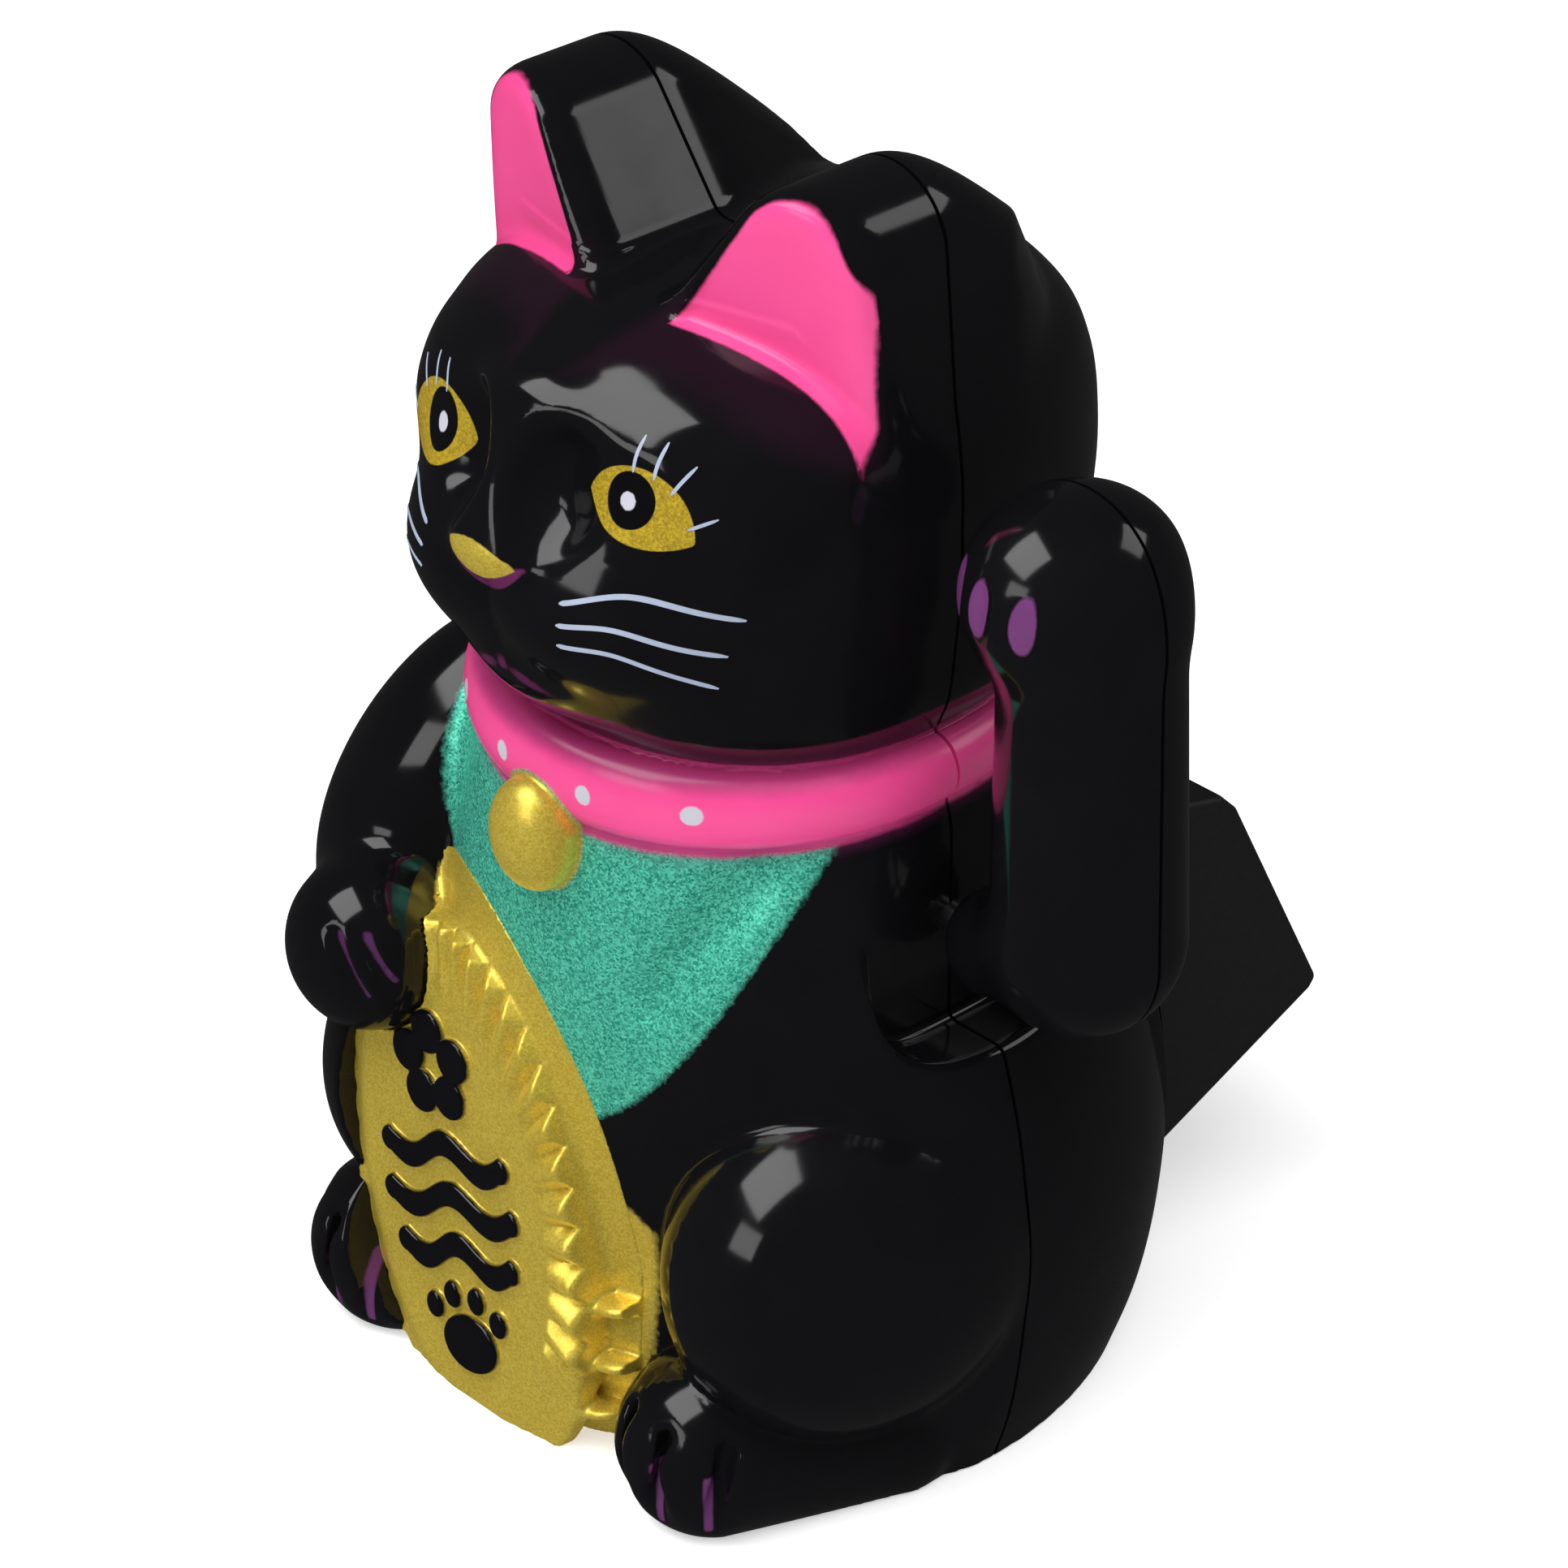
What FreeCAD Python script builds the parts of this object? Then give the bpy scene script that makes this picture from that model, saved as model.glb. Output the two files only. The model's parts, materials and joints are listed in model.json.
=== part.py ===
import FreeCAD, Part
import math
import os

os.makedirs("parts", exist_ok=True)

V = FreeCAD.Vector

# ---------------------------------------------------------------- driving dimensions (mm)
WALL = 2.0                      # moulded wall of the body shells
AXLE_Y = 0.0                    # swing axis of the raised arm, parallel to X
AXLE_Z = 57.5
AXLE_R = 1.5
BEARING_R = 1.55                # running fit on the axle
WALL_HOLE_R = 2.3               # clearance hole in the pocket wall
POCKET_X = 26.5                 # flat wall of the side pocket
POCKET_R = 14.5
COVER_C = (0.0, 9.0)            # base cover ellipse centre
COVER_A, COVER_B = 29.5, 26.5
COVER_T = 2.4
LEDGE = 4.5                     # ledge the cover seats on
BOX_HALF = 22.0                 # solar housing half width
BOX_YZ = [(20.0, 56.5), (41.4, 51.2), (43.6, 49.0), (56.4, 24.4), (55.4, 23.2), (20.0, 8.0)]
BOX_WALL = 1.6
SWING_X = 12.5                  # plane of the pendulum and coil
MAGNET_R, MAGNET_T = 5.0, 4.0
MAGNET_Z = 17.2                 # underside of the magnet at rest
WEIGHT_Y = 0.95                 # the counterweight sits this far back, so that the arm hangs upright
PLATE_Z = 7.0                   # underside of the pivot frame's base plate

# (z, half width, rear depth, front depth, roundness exponent), floor to crown; 74.5 is the neck under the collar
BODY = [
    (0.0, 33.5, 38.8, 22.0, 2.0), (6.0, 35.4, 40.8, 23.2, 2.0), (14.0, 36.8, 42.0, 24.4, 2.0),
    (25.0, 37.5, 42.0, 25.0, 2.0), (38.0, 36.0, 39.4, 25.5, 2.0), (50.0, 32.4, 35.0, 26.0, 2.0),
    (60.0, 29.0, 31.2, 25.6, 2.0), (68.0, 26.4, 28.4, 24.4, 2.0), (72.0, 24.4, 26.6, 22.8, 2.1),
    (74.5, 23.5, 25.4, 22.0, 2.1), (77.0, 24.6, 27.2, 24.0, 2.2), (80.0, 25.8, 29.4, 26.2, 2.2),
    (85.0, 26.5, 31.6, 28.0, 2.2), (91.0, 27.1, 33.0, 29.0, 2.2), (97.0, 27.2, 33.2, 29.0, 2.2),
    (104.0, 26.8, 31.6, 27.8, 2.2), (109.0, 25.4, 28.6, 25.6, 2.2), (113.0, 21.8, 23.6, 21.8, 2.1),
    (115.6, 14.8, 15.6, 15.4, 2.0), (116.6, 7.0, 7.4, 7.6, 2.0),
]


# ---------------------------------------------------------------- helpers
def save(shape, name):
    shape.exportStep("parts/" + name + ".step")


def group(shapes):
    return Part.makeCompound(shapes)


def box(x0, y0, z0, x1, y1, z1):
    return Part.makeBox(x1 - x0, y1 - y0, z1 - z0, V(x0, y0, z0))


def cyl_x(r, x0, x1, y, z):
    return Part.makeCylinder(r, x1 - x0, V(x0, y, z), V(1, 0, 0))


def cyl_y(r, y0, y1, x, z):
    return Part.makeCylinder(r, y1 - y0, V(x, y0, z), V(0, 1, 0))


def cyl_z(r, z0, z1, x, y):
    return Part.makeCylinder(r, z1 - z0, V(x, y, z0), V(0, 0, 1))


def turned(shape, centre, rotation):
    out = shape.copy()
    out.Placement = FreeCAD.Placement(V(*centre), rotation)
    return out


def ellipsoid(centre, radii, rotation=None):
    m = FreeCAD.Matrix()
    m.scale(*radii)
    s = Part.makeSphere(1.0).transformGeometry(m)
    return turned(s, centre, rotation or FreeCAD.Rotation())


def closed_wire(points):
    c = Part.BSplineCurve()
    c.interpolate(Points=points, PeriodicFlag=True)
    return Part.Wire([c.toShape()])


def oval(z, a, rear, front, power=2.0, count=20):
    """Closed section: two half superellipses, deeper or shallower behind than in front."""
    pts = []
    for i in range(count):
        t = 2 * math.pi * (i + 0.5) / count
        b = rear if math.sin(t) > 0 else front
        c = math.copysign(abs(math.cos(t)) ** (2 / power), math.cos(t))
        s = math.copysign(abs(math.sin(t)) ** (2 / power), math.sin(t))
        pts.append(V(a * c, b * s, z))
    return closed_wire(pts)


def stack(sections, inset=0.0, z0=None, z1=None):
    rows = [(z, a - inset, r - inset, f - inset, n) for z, a, r, f, n in sections]
    s = Part.makeLoft([oval(*row) for row in rows], True, False)
    if z0 is not None:
        s = s.common(box(-80, -80, z0, 80, 80, z1))
    return s


def round_triangle(y, drop, grow, count=10):
    """Ear section in the XZ plane: three corners rounded to one radius."""
    corners = [(18.5, 124.0), (7.4, 110.2), (20.4, 101.0)]
    r = 6.2 - grow
    pts = []
    n = len(corners)
    for i in range(n):
        px, pz = corners[i - 1]
        cx, cz = corners[i]
        nx, nz = corners[(i + 1) % n]
        a0 = math.atan2(cz - pz, cx - px) - math.pi / 2
        a1 = math.atan2(nz - cz, nx - cx) - math.pi / 2
        while a1 < a0:
            a1 += 2 * math.pi
        steps = 4
        for k in range(steps + 1):
            t = a0 + (a1 - a0) * k / steps
            pts.append(V(cx + r * math.cos(t), y, cz - drop + r * math.sin(t)))
        for k in range(1, 3):
            u = k / 3.0
            pts.append(V(
                cx + (nx - cx) * u + r * math.cos(a1), y,
                cz - drop + (nz - cz) * u + r * math.sin(a1)))
    return closed_wire(pts)


def ear_drop(y):
    return 0.95 * (math.sqrt(y * y + 36.0) - 6.0) if y > 0 else 0.0


def ear_prism(y0, y1, grow):
    ys = [y0, y0 / 2, 0.0, y1 * 0.25, y1 * 0.5, y1 * 0.75, y1]
    return Part.makeLoft([round_triangle(y, ear_drop(y), grow) for y in ys], True, False)


def mirrored(shape):
    return shape.mirror(V(0, 0, 0), V(1, 0, 0))


def wire_along(points, bend, r):
    """Round wire through points, its corners rounded to the bend radius."""
    pts = [V(*p) for p in points]
    edges = []
    last = pts[0]
    for i in range(1, len(pts) - 1):
        u = (pts[i - 1] - pts[i]).normalize()
        w = (pts[i + 1] - pts[i]).normalize()
        half = math.acos(max(-1.0, min(1.0, u.dot(w)))) / 2
        cut = bend / math.tan(half)
        p = pts[i] + u * cut
        q = pts[i] + w * cut
        mid_dir = (u + w).normalize()
        m = pts[i] + mid_dir * (bend / math.sin(half) - bend)
        edges.append(Part.makeLine(last, p))
        edges.append(Part.Arc(p, m, q).toShape())
        last = q
    edges.append(Part.makeLine(last, pts[-1]))
    spine = Part.Wire(edges)
    start = (edges[0].Vertexes[1].Point - edges[0].Vertexes[0].Point)
    disc = Part.Wire([Part.makeCircle(r, pts[0], start)])
    return spine.makePipeShell([disc], True, True)


def screw(x, y, z, down, length, shank=1.1, head=2.2, head_t=1.2):
    """Cross-recess pan screw, head face at z, shank running along down (+1 or -1 in Z)."""
    d = V(0, 0, down)
    body = Part.makeCylinder(head, head_t, V(x, y, z), d)
    body = body.fuse(Part.makeCylinder(shank, length, V(x, y, z + down * head_t), d))
    slot = Part.makeBox(2.4, 0.6, 0.6, V(x - 1.2, y - 0.3, z - 0.01 if down > 0 else z - 0.59))
    cross = Part.makeBox(0.6, 2.4, 0.6, V(x - 0.3, y - 1.2, z - 0.01 if down > 0 else z - 0.59))
    return body.cut(slot).cut(cross)


def fuse_all(shapes):
    out = shapes[0]
    for s in shapes[1:]:
        out = out.fuse(s)
    return out


# ---------------------------------------------------------------- outer form of the body
def limbs(inset):
    parts = []
    for side in (-1, 1):
        parts.append(ellipsoid((side * 24.6, -10.0, 25.0), (15.0 - inset, 20.2 - inset, 18.5 - inset)))
        toes_in = FreeCAD.Rotation(V(0, 0, 1), -17.5 * side)
        parts.append(ellipsoid((side * 22.6, -17.0, 6.2), (10.6 - inset, 17.2 - inset, 9.6 - inset), toes_in))
    lean = FreeCAD.Rotation(V(0, 0, 1), V(-5, -10, -17))
    parts.append(ellipsoid((-28.0, -13.0, 54.5), (10.2 - inset, 10.6 - inset, 19.5 - inset), lean))
    parts.append(ellipsoid((-24.0, -27.5, 43.2), (8.2 - inset, 7.8 - inset, 8.6 - inset)))
    return parts


def ear(inset):
    e = ear_prism(-15.0, 24.0, inset)
    plan = stack([
        (100.0, 26.5, 31.4, 29.0, 2.2), (108.0, 26.5, 28.4, 29.0, 2.2), (120.0, 26.4, 22.8, 28.0, 2.2),
        (135.0, 26.3, 16.5, 28.0, 2.2)], inset)
    e = e.common(plan)
    face_n = V(0.242, -0.968, -0.064).normalize()
    turn = FreeCAD.Rotation(V(0, 0, 1), face_n)
    slab = turned(Part.makeBox(80, 80, 30, V(-40, -40, 0)), (18.1, -13.0 + inset, 129.4), turn)
    return e.cut(slab), turn


def ear_panel(turn):
    small = ear_prism(-20.0, 4.0, 1.7)
    slab = turned(Part.makeBox(80, 80, 1.6, V(-40, -40, 0)), (18.1, -12.2, 129.4), turn)
    return small.common(slab).cut(stack(BODY, -0.4))


front_cut = box(-60, -60, -5, 60, 0, 140)
rear_cut = box(-60, 0, -5, 60, 70, 140)
floor_cut = box(-80, -80, -30, 80, 80, 0)

ear_right, ear_turn = ear(0.0)
panel = ear_panel(ear_turn)
face = [
    ellipsoid((4.4, -26.4, 91.6), (7.2, 6.6, 6.2)),
    ellipsoid((-4.4, -26.4, 91.6), (7.2, 6.6, 6.2)),
    ellipsoid((0, -27.2, 98.2), (4.4, 5.2, 7.0), FreeCAD.Rotation(V(1, 0, 0), -18)),
    ellipsoid((0, -23.6, 84.6), (6.4, 5.0, 4.2)),
]
collar = Part.makeTorus(23.6, 3.1, V(0, 0, 0), V(0, 0, 1))
collar_scale = FreeCAD.Matrix()
collar_scale.scale(1.03, 1.0, 1.05)
collar = turned(collar.transformGeometry(collar_scale), (0, 0.2, 73.0), FreeCAD.Rotation(V(1, 0, 0), 3))
bell = ellipsoid((0, -26.6, 64.6), (5.3, 3.6, 6.4))

coin_turn = FreeCAD.Rotation(V(0, 1, 0), -14).multiply(FreeCAD.Rotation(V(1, 0, 0), -4))
coin_centre = (-10.0, -26.6, 24.4)


def coin_disc(a, b, y0, y1, notch=0.0):
    """Rounded oblong plate in the XZ plane, its rim optionally fluted."""
    pts = []
    count = 96 if notch else 32
    for i in range(count):
        t = 2 * math.pi * (i + 0.5) / count
        c = math.copysign(abs(math.cos(t)) ** (2 / 2.7), math.cos(t))
        s = math.copysign(abs(math.sin(t)) ** (2 / 2.7), math.sin(t))
        r = 1.0 - notch / a * (i % 2)
        pts.append(V(a * r * c, y0, b * r * s))
    if notch:
        wire = Part.makePolygon(pts + pts[:1])
    else:
        wire = closed_wire(pts)
    return Part.Face(wire).extrude(V(0, y1 - y0, 0))


coin = coin_disc(14.6, 26.4, -2.4, 8.0)
coin = coin.fuse(coin_disc(15.0, 26.8, -3.2, -1.2, 0.5).cut(coin_disc(12.9, 24.6, -4.0, -2.4)))
motif = []
for k in range(5):
    t = math.radians(90 + 72 * k)
    motif.append(cyl_y(1.9, -3.1, -2.2, 3.4 * math.cos(t), 11.0 + 3.4 * math.sin(t)))
motif.append(cyl_y(1.2, -3.1, -2.2, 0, 11.0))
for k in range(3):
    motif.append(box(-7.5 + 1.5 * k, -3.1, 1.0 - 4.2 * k, 7.5 - 1.5 * k, -2.2, 2.6 - 4.2 * k))
motif.append(cyl_y(3.2, -3.1, -2.2, 0, -15.0))
coin = turned(coin.fuse(motif), coin_centre, coin_turn)

outer = fuse_all([stack(BODY), ear_right, mirrored(ear_right), collar, bell])
outer = fuse_all([outer] + limbs(0.0) + face + [coin])
outer = outer.cut(floor_cut)
outer = outer.cut(panel).cut(mirrored(panel))

# ---------------------------------------------------------------- cavity
ear_inner, _ = ear(WALL + 0.2)
cavity = fuse_all([
    stack(BODY[:-1], WALL, COVER_T + 2.0, 140.0),
    ear_inner, mirrored(ear_inner)])
cavity = cavity.fuse([s.common(box(-80, -80, COVER_T + 2.0, 80, 80, 90)) for s in limbs(WALL)])


def pocket(grow):
    r = POCKET_R + grow
    x = POCKET_X - grow
    low = cyl_x(r, x, 60, AXLE_Y, AXLE_Z)
    top = box(x, -r + 2.0, AXLE_Z, 60, r - 2.0, 70.2 + grow)
    return low.common(box(0, -60, 0, 60, 60, AXLE_Z + 7)).fuse(top)


cavity = cavity.cut(pocket(WALL))
shell = outer.cut(cavity).cut(pocket(0.0))
shell = shell.cut(cyl_x(WALL_HOLE_R, 20, 30, AXLE_Y, AXLE_Z))


def cover_oval(a, b, z0, z1):
    wire = Part.Ellipse(V(a, 0, z0), V(0, b, z0), V(0, 0, z0)) if a >= b else None
    disc = Part.Face(Part.Wire([wire.toShape()])).extrude(V(0, 0, z1 - z0))
    disc.translate(V(COVER_C[0], COVER_C[1], 0))
    return disc


shell = shell.cut(cover_oval(COVER_A, COVER_B, -1, COVER_T))
shell = shell.cut(cover_oval(COVER_A - LEDGE, COVER_B - LEDGE, -1, 8))

# the ledge is notched round the posts of the base cover
FRAME_SCREWS = [(SWING_X, -9.8), (SWING_X, 9.8)]
BOARD_SCREWS = [(-7.0, -5.0), (-20.5, 15.0)]
shell = shell.cut([cyl_z(3.4, -1, 11.0, x, y) for x, y in FRAME_SCREWS + BOARD_SCREWS])

# bosses for the base screws stand on the ledge: one in front, two at the rear
base_holes = []
bosses = []
for angle in (-90, 35, 145):
    x = COVER_C[0] + (COVER_A - 2.4) * math.cos(math.radians(angle))
    y = COVER_C[1] + (COVER_B - 2.4) * math.sin(math.radians(angle))
    base_holes.append((x, y))
    bosses.append(cyl_z(3.0, COVER_T, 13.0, x, y))
shell = shell.fuse(bosses)
shell = shell.cut([cyl_z(1.12, COVER_T - 1, 11.0, x, y) for x, y in base_holes])

# locating pins and sockets across the parting plane
PINS = [(-8.0, 99.0), (-21.0, 62.0), (-27.5, 22.0), (28.5, 22.0)]
posts = [cyl_y(2.6, -50, 50, x, z) for x, z in PINS]
posts = [p.common(outer).cut(cyl_y(1.25, 0, 5.0, x, z)) for p, (x, z) in zip(posts, PINS)]
shell = shell.fuse(posts)

# lead hole and screw holes behind the housing
LEAD_HOLE = (0.0, 34.0)
HOUSING_SCREWS = [(-14.0, 34.0), (14.0, 34.0)]
pads = [cyl_y(3.3, 33.2, 45, x, z).common(outer) for x, z in HOUSING_SCREWS]
shell = shell.fuse(pads)
shell = shell.cut(cyl_y(3.0, 25, 60, *LEAD_HOLE))
shell = shell.cut([cyl_y(1.3, 25, 60, x, z) for x, z in HOUSING_SCREWS])

front_shell = shell.common(front_cut).fuse([cyl_y(1.2, -3.0, 4.5, x, z) for x, z in PINS])
rear_shell = shell.common(rear_cut)
save(front_shell, "front_shell")
save(rear_shell, "rear_shell")

# ---------------------------------------------------------------- base cover
cover = cover_oval(COVER_A - 0.25, COVER_B - 0.25, 0.0, COVER_T)
cover = cover.fuse([cyl_z(3.0, COVER_T - 0.5, PLATE_Z, x, y) for x, y in FRAME_SCREWS + BOARD_SCREWS])
cover = cover.cut([cyl_z(1.5, -1, 4, x, y) for x, y in base_holes])
cover = cover.cut([cyl_z(2.5, -1, 1.4, x, y) for x, y in base_holes])
cover = cover.cut([cyl_z(1.03, 1.2, PLATE_Z + 1, x, y) for x, y in FRAME_SCREWS + BOARD_SCREWS])
save(cover, "base_cover")
save(group([screw(x, y, 0.2, 1, 7.5) for x, y in base_holes]), "base_screws")

# ---------------------------------------------------------------- pivot frame
plate = box(1.2, -12.2, PLATE_Z, 24.0, 12.2, PLATE_Z + 2)


def cheek(x0, x1):
    pts = [(-9, PLATE_Z), (9, PLATE_Z), (4, AXLE_Z), (-4, AXLE_Z), (-9, PLATE_Z)]
    face_yz = Part.Face(Part.makePolygon([V(x0, y, z) for y, z in pts]))
    return face_yz.extrude(V(x1 - x0, 0, 0))


frame = plate.fuse([cheek(2.0, 4.0), cheek(21.0, 23.0)])
frame = frame.fuse([cyl_x(4.0, 1.2, 4.0, AXLE_Y, AXLE_Z), cyl_x(4.0, 21.0, 23.4, AXLE_Y, AXLE_Z)])
frame = frame.cut(cyl_x(BEARING_R, 0, 25, AXLE_Y, AXLE_Z))
frame = frame.cut(box(1, -2.5, PLATE_Z + 2, 5, 2.5, PLATE_Z + 5))
frame = frame.cut([cyl_z(1.3, PLATE_Z - 1, PLATE_Z + 3, x, y) for x, y in FRAME_SCREWS])
save(frame, "pivot_frame")
save(group([screw(x, y, PLATE_Z + 3.2, -1, 5.0, 1.0) for x, y in FRAME_SCREWS]), "frame_screws")

# ---------------------------------------------------------------- drive coil
coil_z = PLATE_Z + 2
bobbin = cyl_z(7.2, coil_z, coil_z + 0.8, SWING_X, 0)
bobbin = bobbin.fuse([
    cyl_z(2.5, coil_z, coil_z + 6.0, SWING_X, 0),
    cyl_z(7.2, coil_z + 5.2, coil_z + 6.0, SWING_X, 0)])
bobbin = bobbin.cut(cyl_z(1.2, coil_z - 1, coil_z + 7, SWING_X, 0))
save(bobbin, "coil_bobbin")
winding = cyl_z(6.6, coil_z + 0.8, coil_z + 5.2, SWING_X, 0).cut(cyl_z(2.5, coil_z, coil_z + 6, SWING_X, 0))
save(winding, "coil_winding")

# ---------------------------------------------------------------- circuit board and its components
BOARD_TOP = PLATE_Z + 1.2
board = box(-24.0, -8.0, PLATE_Z, -4.0, 18.0, BOARD_TOP)
board = board.cut([cyl_z(1.3, PLATE_Z - 1, PLATE_Z + 3, x, y) for x, y in BOARD_SCREWS])
save(board, "circuit_board")
save(group([screw(x, y, BOARD_TOP + 1.2, -1, 4.5, 1.0) for x, y in BOARD_SCREWS]), "board_screws")

can = cyl_z(3.15, BOARD_TOP, BOARD_TOP + 7.0, -18.0, 9.0)
can = can.makeFillet(0.4, [can.Edges[0], can.Edges[2]])
save(can, "storage_capacitor")

chip = box(-13.0, -2.0, BOARD_TOP + 0.2, -9.0, 3.0, BOARD_TOP + 1.6)
legs = []
for k in range(4):
    y = -1.4 + 1.27 * k
    for sx in (-1, 1):
        foot = sorted([-11.0 + sx * 1.9, -11.0 + sx * 3.0])
        legs.append(box(foot[0], y - 0.2, BOARD_TOP, foot[1], y + 0.2, BOARD_TOP + 0.35))
save(chip.fuse(legs), "driver_chip")

res_z = BOARD_TOP + 1.4
lead = wire_along([
    (-20.0, -1.5, BOARD_TOP), (-20.0, -1.5, res_z), (-20.0, 6.0 - 1.5, res_z), (-20.0, 4.5, BOARD_TOP)], 0.6, 0.3)
resistor = cyl_y(1.0, 0.0, 3.2, -20.0, res_z).fuse(lead)
save(resistor, "resistor")

LEAD_Y = 1.0
coil_leads = []
for y in (-LEAD_Y, LEAD_Y):
    coil_leads.append(wire_along([
        (SWING_X - 6.5, y, coil_z + 1.6), (-1.5, y, coil_z + 1.6), (-5.5, y, BOARD_TOP + 0.25),
        (-7.2, y, BOARD_TOP + 0.25)], 1.2, 0.25))
save(group(coil_leads), "coil_leads")

# ---------------------------------------------------------------- solar housing
BODY_SKIN = stack(BODY, -0.1)


def inset_polygon(pts, d):
    out = []
    n = len(pts)
    for i in range(n):
        a = FreeCAD.Vector(pts[i - 1][0], pts[i - 1][1], 0)
        b = FreeCAD.Vector(pts[i][0], pts[i][1], 0)
        c = FreeCAD.Vector(pts[(i + 1) % n][0], pts[(i + 1) % n][1], 0)
        u = (b - a).normalize()
        w = (c - b).normalize()
        nu = V(u.y, -u.x, 0)
        bis = (nu + V(w.y, -w.x, 0)).normalize()
        p = b + bis * (d / bis.dot(nu))
        out.append((p.x, p.y))
    return out


def prism(pts, half):
    loop = [V(-half, y, z) for y, z in pts]
    return Part.Face(Part.makePolygon(loop + loop[:1])).extrude(V(2 * half, 0, 0))


case = prism(BOX_YZ, BOX_HALF)
case = case.makeFillet(0.9, case.Edges)
hollow = prism(inset_polygon(BOX_YZ, BOX_WALL), BOX_HALF - BOX_WALL)
ribs = [box(x - 0.8, 20, 6, x + 0.8, 45.0, 38) for x, z in HOUSING_SCREWS]
ribs += [cyl_y(2.7, 20, 45.0, x, z) for x, z in HOUSING_SCREWS]
housing = case.cut(hollow).fuse([r.common(prism(inset_polygon(BOX_YZ, 0.8), BOX_HALF - 0.8)) for r in ribs])
(y3, z3), (y4, z4) = BOX_YZ[2], BOX_YZ[3]
slope = math.degrees(math.atan2(z4 - z3, y4 - y3))
window_turn = FreeCAD.Rotation(V(1, 0, 0), slope)
window_at = (0, (y3 + y4) / 2, (z3 + z4) / 2)


def on_window(half_x, half_y, z0, z1):
    return turned(box(-half_x, -half_y, z0, half_x, half_y, z1), window_at, window_turn)


housing = housing.cut(on_window(18.0, 10.6, -0.9, 2.0)).cut(on_window(17.0, 9.6, -3.0, 2.0))
housing = housing.cut(BODY_SKIN)
housing = housing.cut([cyl_y(1.0, 20, 44.0, x, z) for x, z in HOUSING_SCREWS])
save(housing, "solar_housing")
save(on_window(17.9, 10.5, -0.9, -0.05), "solar_window")
save(on_window(18.8, 11.0, -2.7, -1.65), "solar_cell")

housing_screws = []
for x, z in HOUSING_SCREWS:
    s = screw(0, 0, 0, 1, 9.0, 1.0)
    housing_screws.append(turned(s, (x, 32.0, z), FreeCAD.Rotation(V(1, 0, 0), -90)))
save(group(housing_screws), "housing_screws")

for sign, name in ((1, "lead_positive"), (-1, "lead_negative")):
    x = 1.2 * sign
    path = [(x, 47.2, 35.1), (x, 43.5, 34.0), (x, 28.5, 34.0), (x - 7.0, 21.5, 13.0), (x - 9.0, 15.0, BOARD_TOP + 0.5),
            (x - 9.0, 12.0, BOARD_TOP + 0.5)]
    save(wire_along(path, 2.0, 0.5), name)

# ---------------------------------------------------------------- raised arm
# (z, centre x, half width, centre y, half depth)
ARM = [
    (54.9, 43.6, 3.0, 0.2, 3.2), (56.3, 43.6, 6.0, 0.2, 6.2), (59.5, 43.7, 8.2, 0.2, 8.4), (64.0, 43.7, 8.9, 0.2, 8.9),
    (78.0, 43.6, 8.6, 0.0, 8.6), (88.0, 43.4, 8.4, -0.2, 8.7), (93.0, 42.6, 9.0, -0.9, 10.0),
    (98.0, 42.1, 9.4, -1.2, 10.5), (102.5, 42.0, 8.4, -1.2, 9.5), (105.8, 42.1, 5.8, -1.0, 6.7),
    (107.6, 42.1, 2.6, -1.0, 3.0),
]
ARM_WALL = 1.6


def arm_column(inset):
    wires = []
    for z, cx, a, cy, b in (ARM[1:-1] if inset > 0 else ARM):
        w = oval(z, a - inset, b - inset, b - inset)
        w.translate(V(cx, cy, 0))
        wires.append(w)
    return Part.makeLoft(wires, True, False)


def arm_stub(inset, x0):
    return Part.makeCone(6.0 - inset, 7.4 - inset, 43.0 - x0, V(x0, AXLE_Y, AXLE_Z + 0.6), V(1, 0, 0))


arm_solid = arm_column(0.0).fuse(arm_stub(0.0, 28.0))
arm_hollow = arm_column(ARM_WALL).fuse(arm_stub(ARM_WALL, 29.6))
arm = arm_solid.cut(arm_hollow)
arm = arm.fuse(cyl_x(3.2, 28.5, 38.0, AXLE_Y, AXLE_Z))
arm = arm.cut(cyl_x(AXLE_R, 20, 37.3, AXLE_Y, AXLE_Z))
arm_front = arm.common(box(-60, -60, -5, 90, 0, 140))
arm_rear = arm.common(box(-60, 0, -5, 90, 70, 140))
save(arm_front, "arm_front_shell")
save(arm_rear, "arm_rear_shell")

axle = cyl_x(AXLE_R, -0.6, 37.3, AXLE_Y, AXLE_Z)
groove = cyl_x(3.0, 0.3, 1.0, AXLE_Y, AXLE_Z).cut(cyl_x(1.15, 0.3, 1.0, AXLE_Y, AXLE_Z))
save(axle.cut(groove), "arm_axle")
clip = cyl_x(2.9, 0.35, 0.95, AXLE_Y, AXLE_Z).cut(cyl_x(1.15, 0, 2, AXLE_Y, AXLE_Z))
clip = clip.cut(box(0, -1.0, AXLE_Z - 4, 2, 1.0, AXLE_Z))
save(clip, "axle_clip")

# ---------------------------------------------------------------- pendulum
magnet_top = MAGNET_Z + MAGNET_T
lever = cyl_x(4.0, 4.4, 20.6, AXLE_Y, AXLE_Z)
lever = lever.fuse([
    box(SWING_X - 2, -2, magnet_top + 0.6, SWING_X + 2, 2, AXLE_Z - 1),
    cyl_z(6.2, MAGNET_Z + 0.8, magnet_top + 1.6, SWING_X, 0)])
lever = lever.cut(cyl_x(AXLE_R, 0, 25, AXLE_Y, AXLE_Z))
lever = lever.cut(cyl_z(MAGNET_R, 0, magnet_top, SWING_X, 0))
lever = lever.cut(cyl_z(0.95, AXLE_Z, AXLE_Z + 6, SWING_X, 0))
save(lever, "pendulum_lever")
save(cyl_z(MAGNET_R, MAGNET_Z, magnet_top, SWING_X, 0), "pendulum_magnet")
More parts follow.
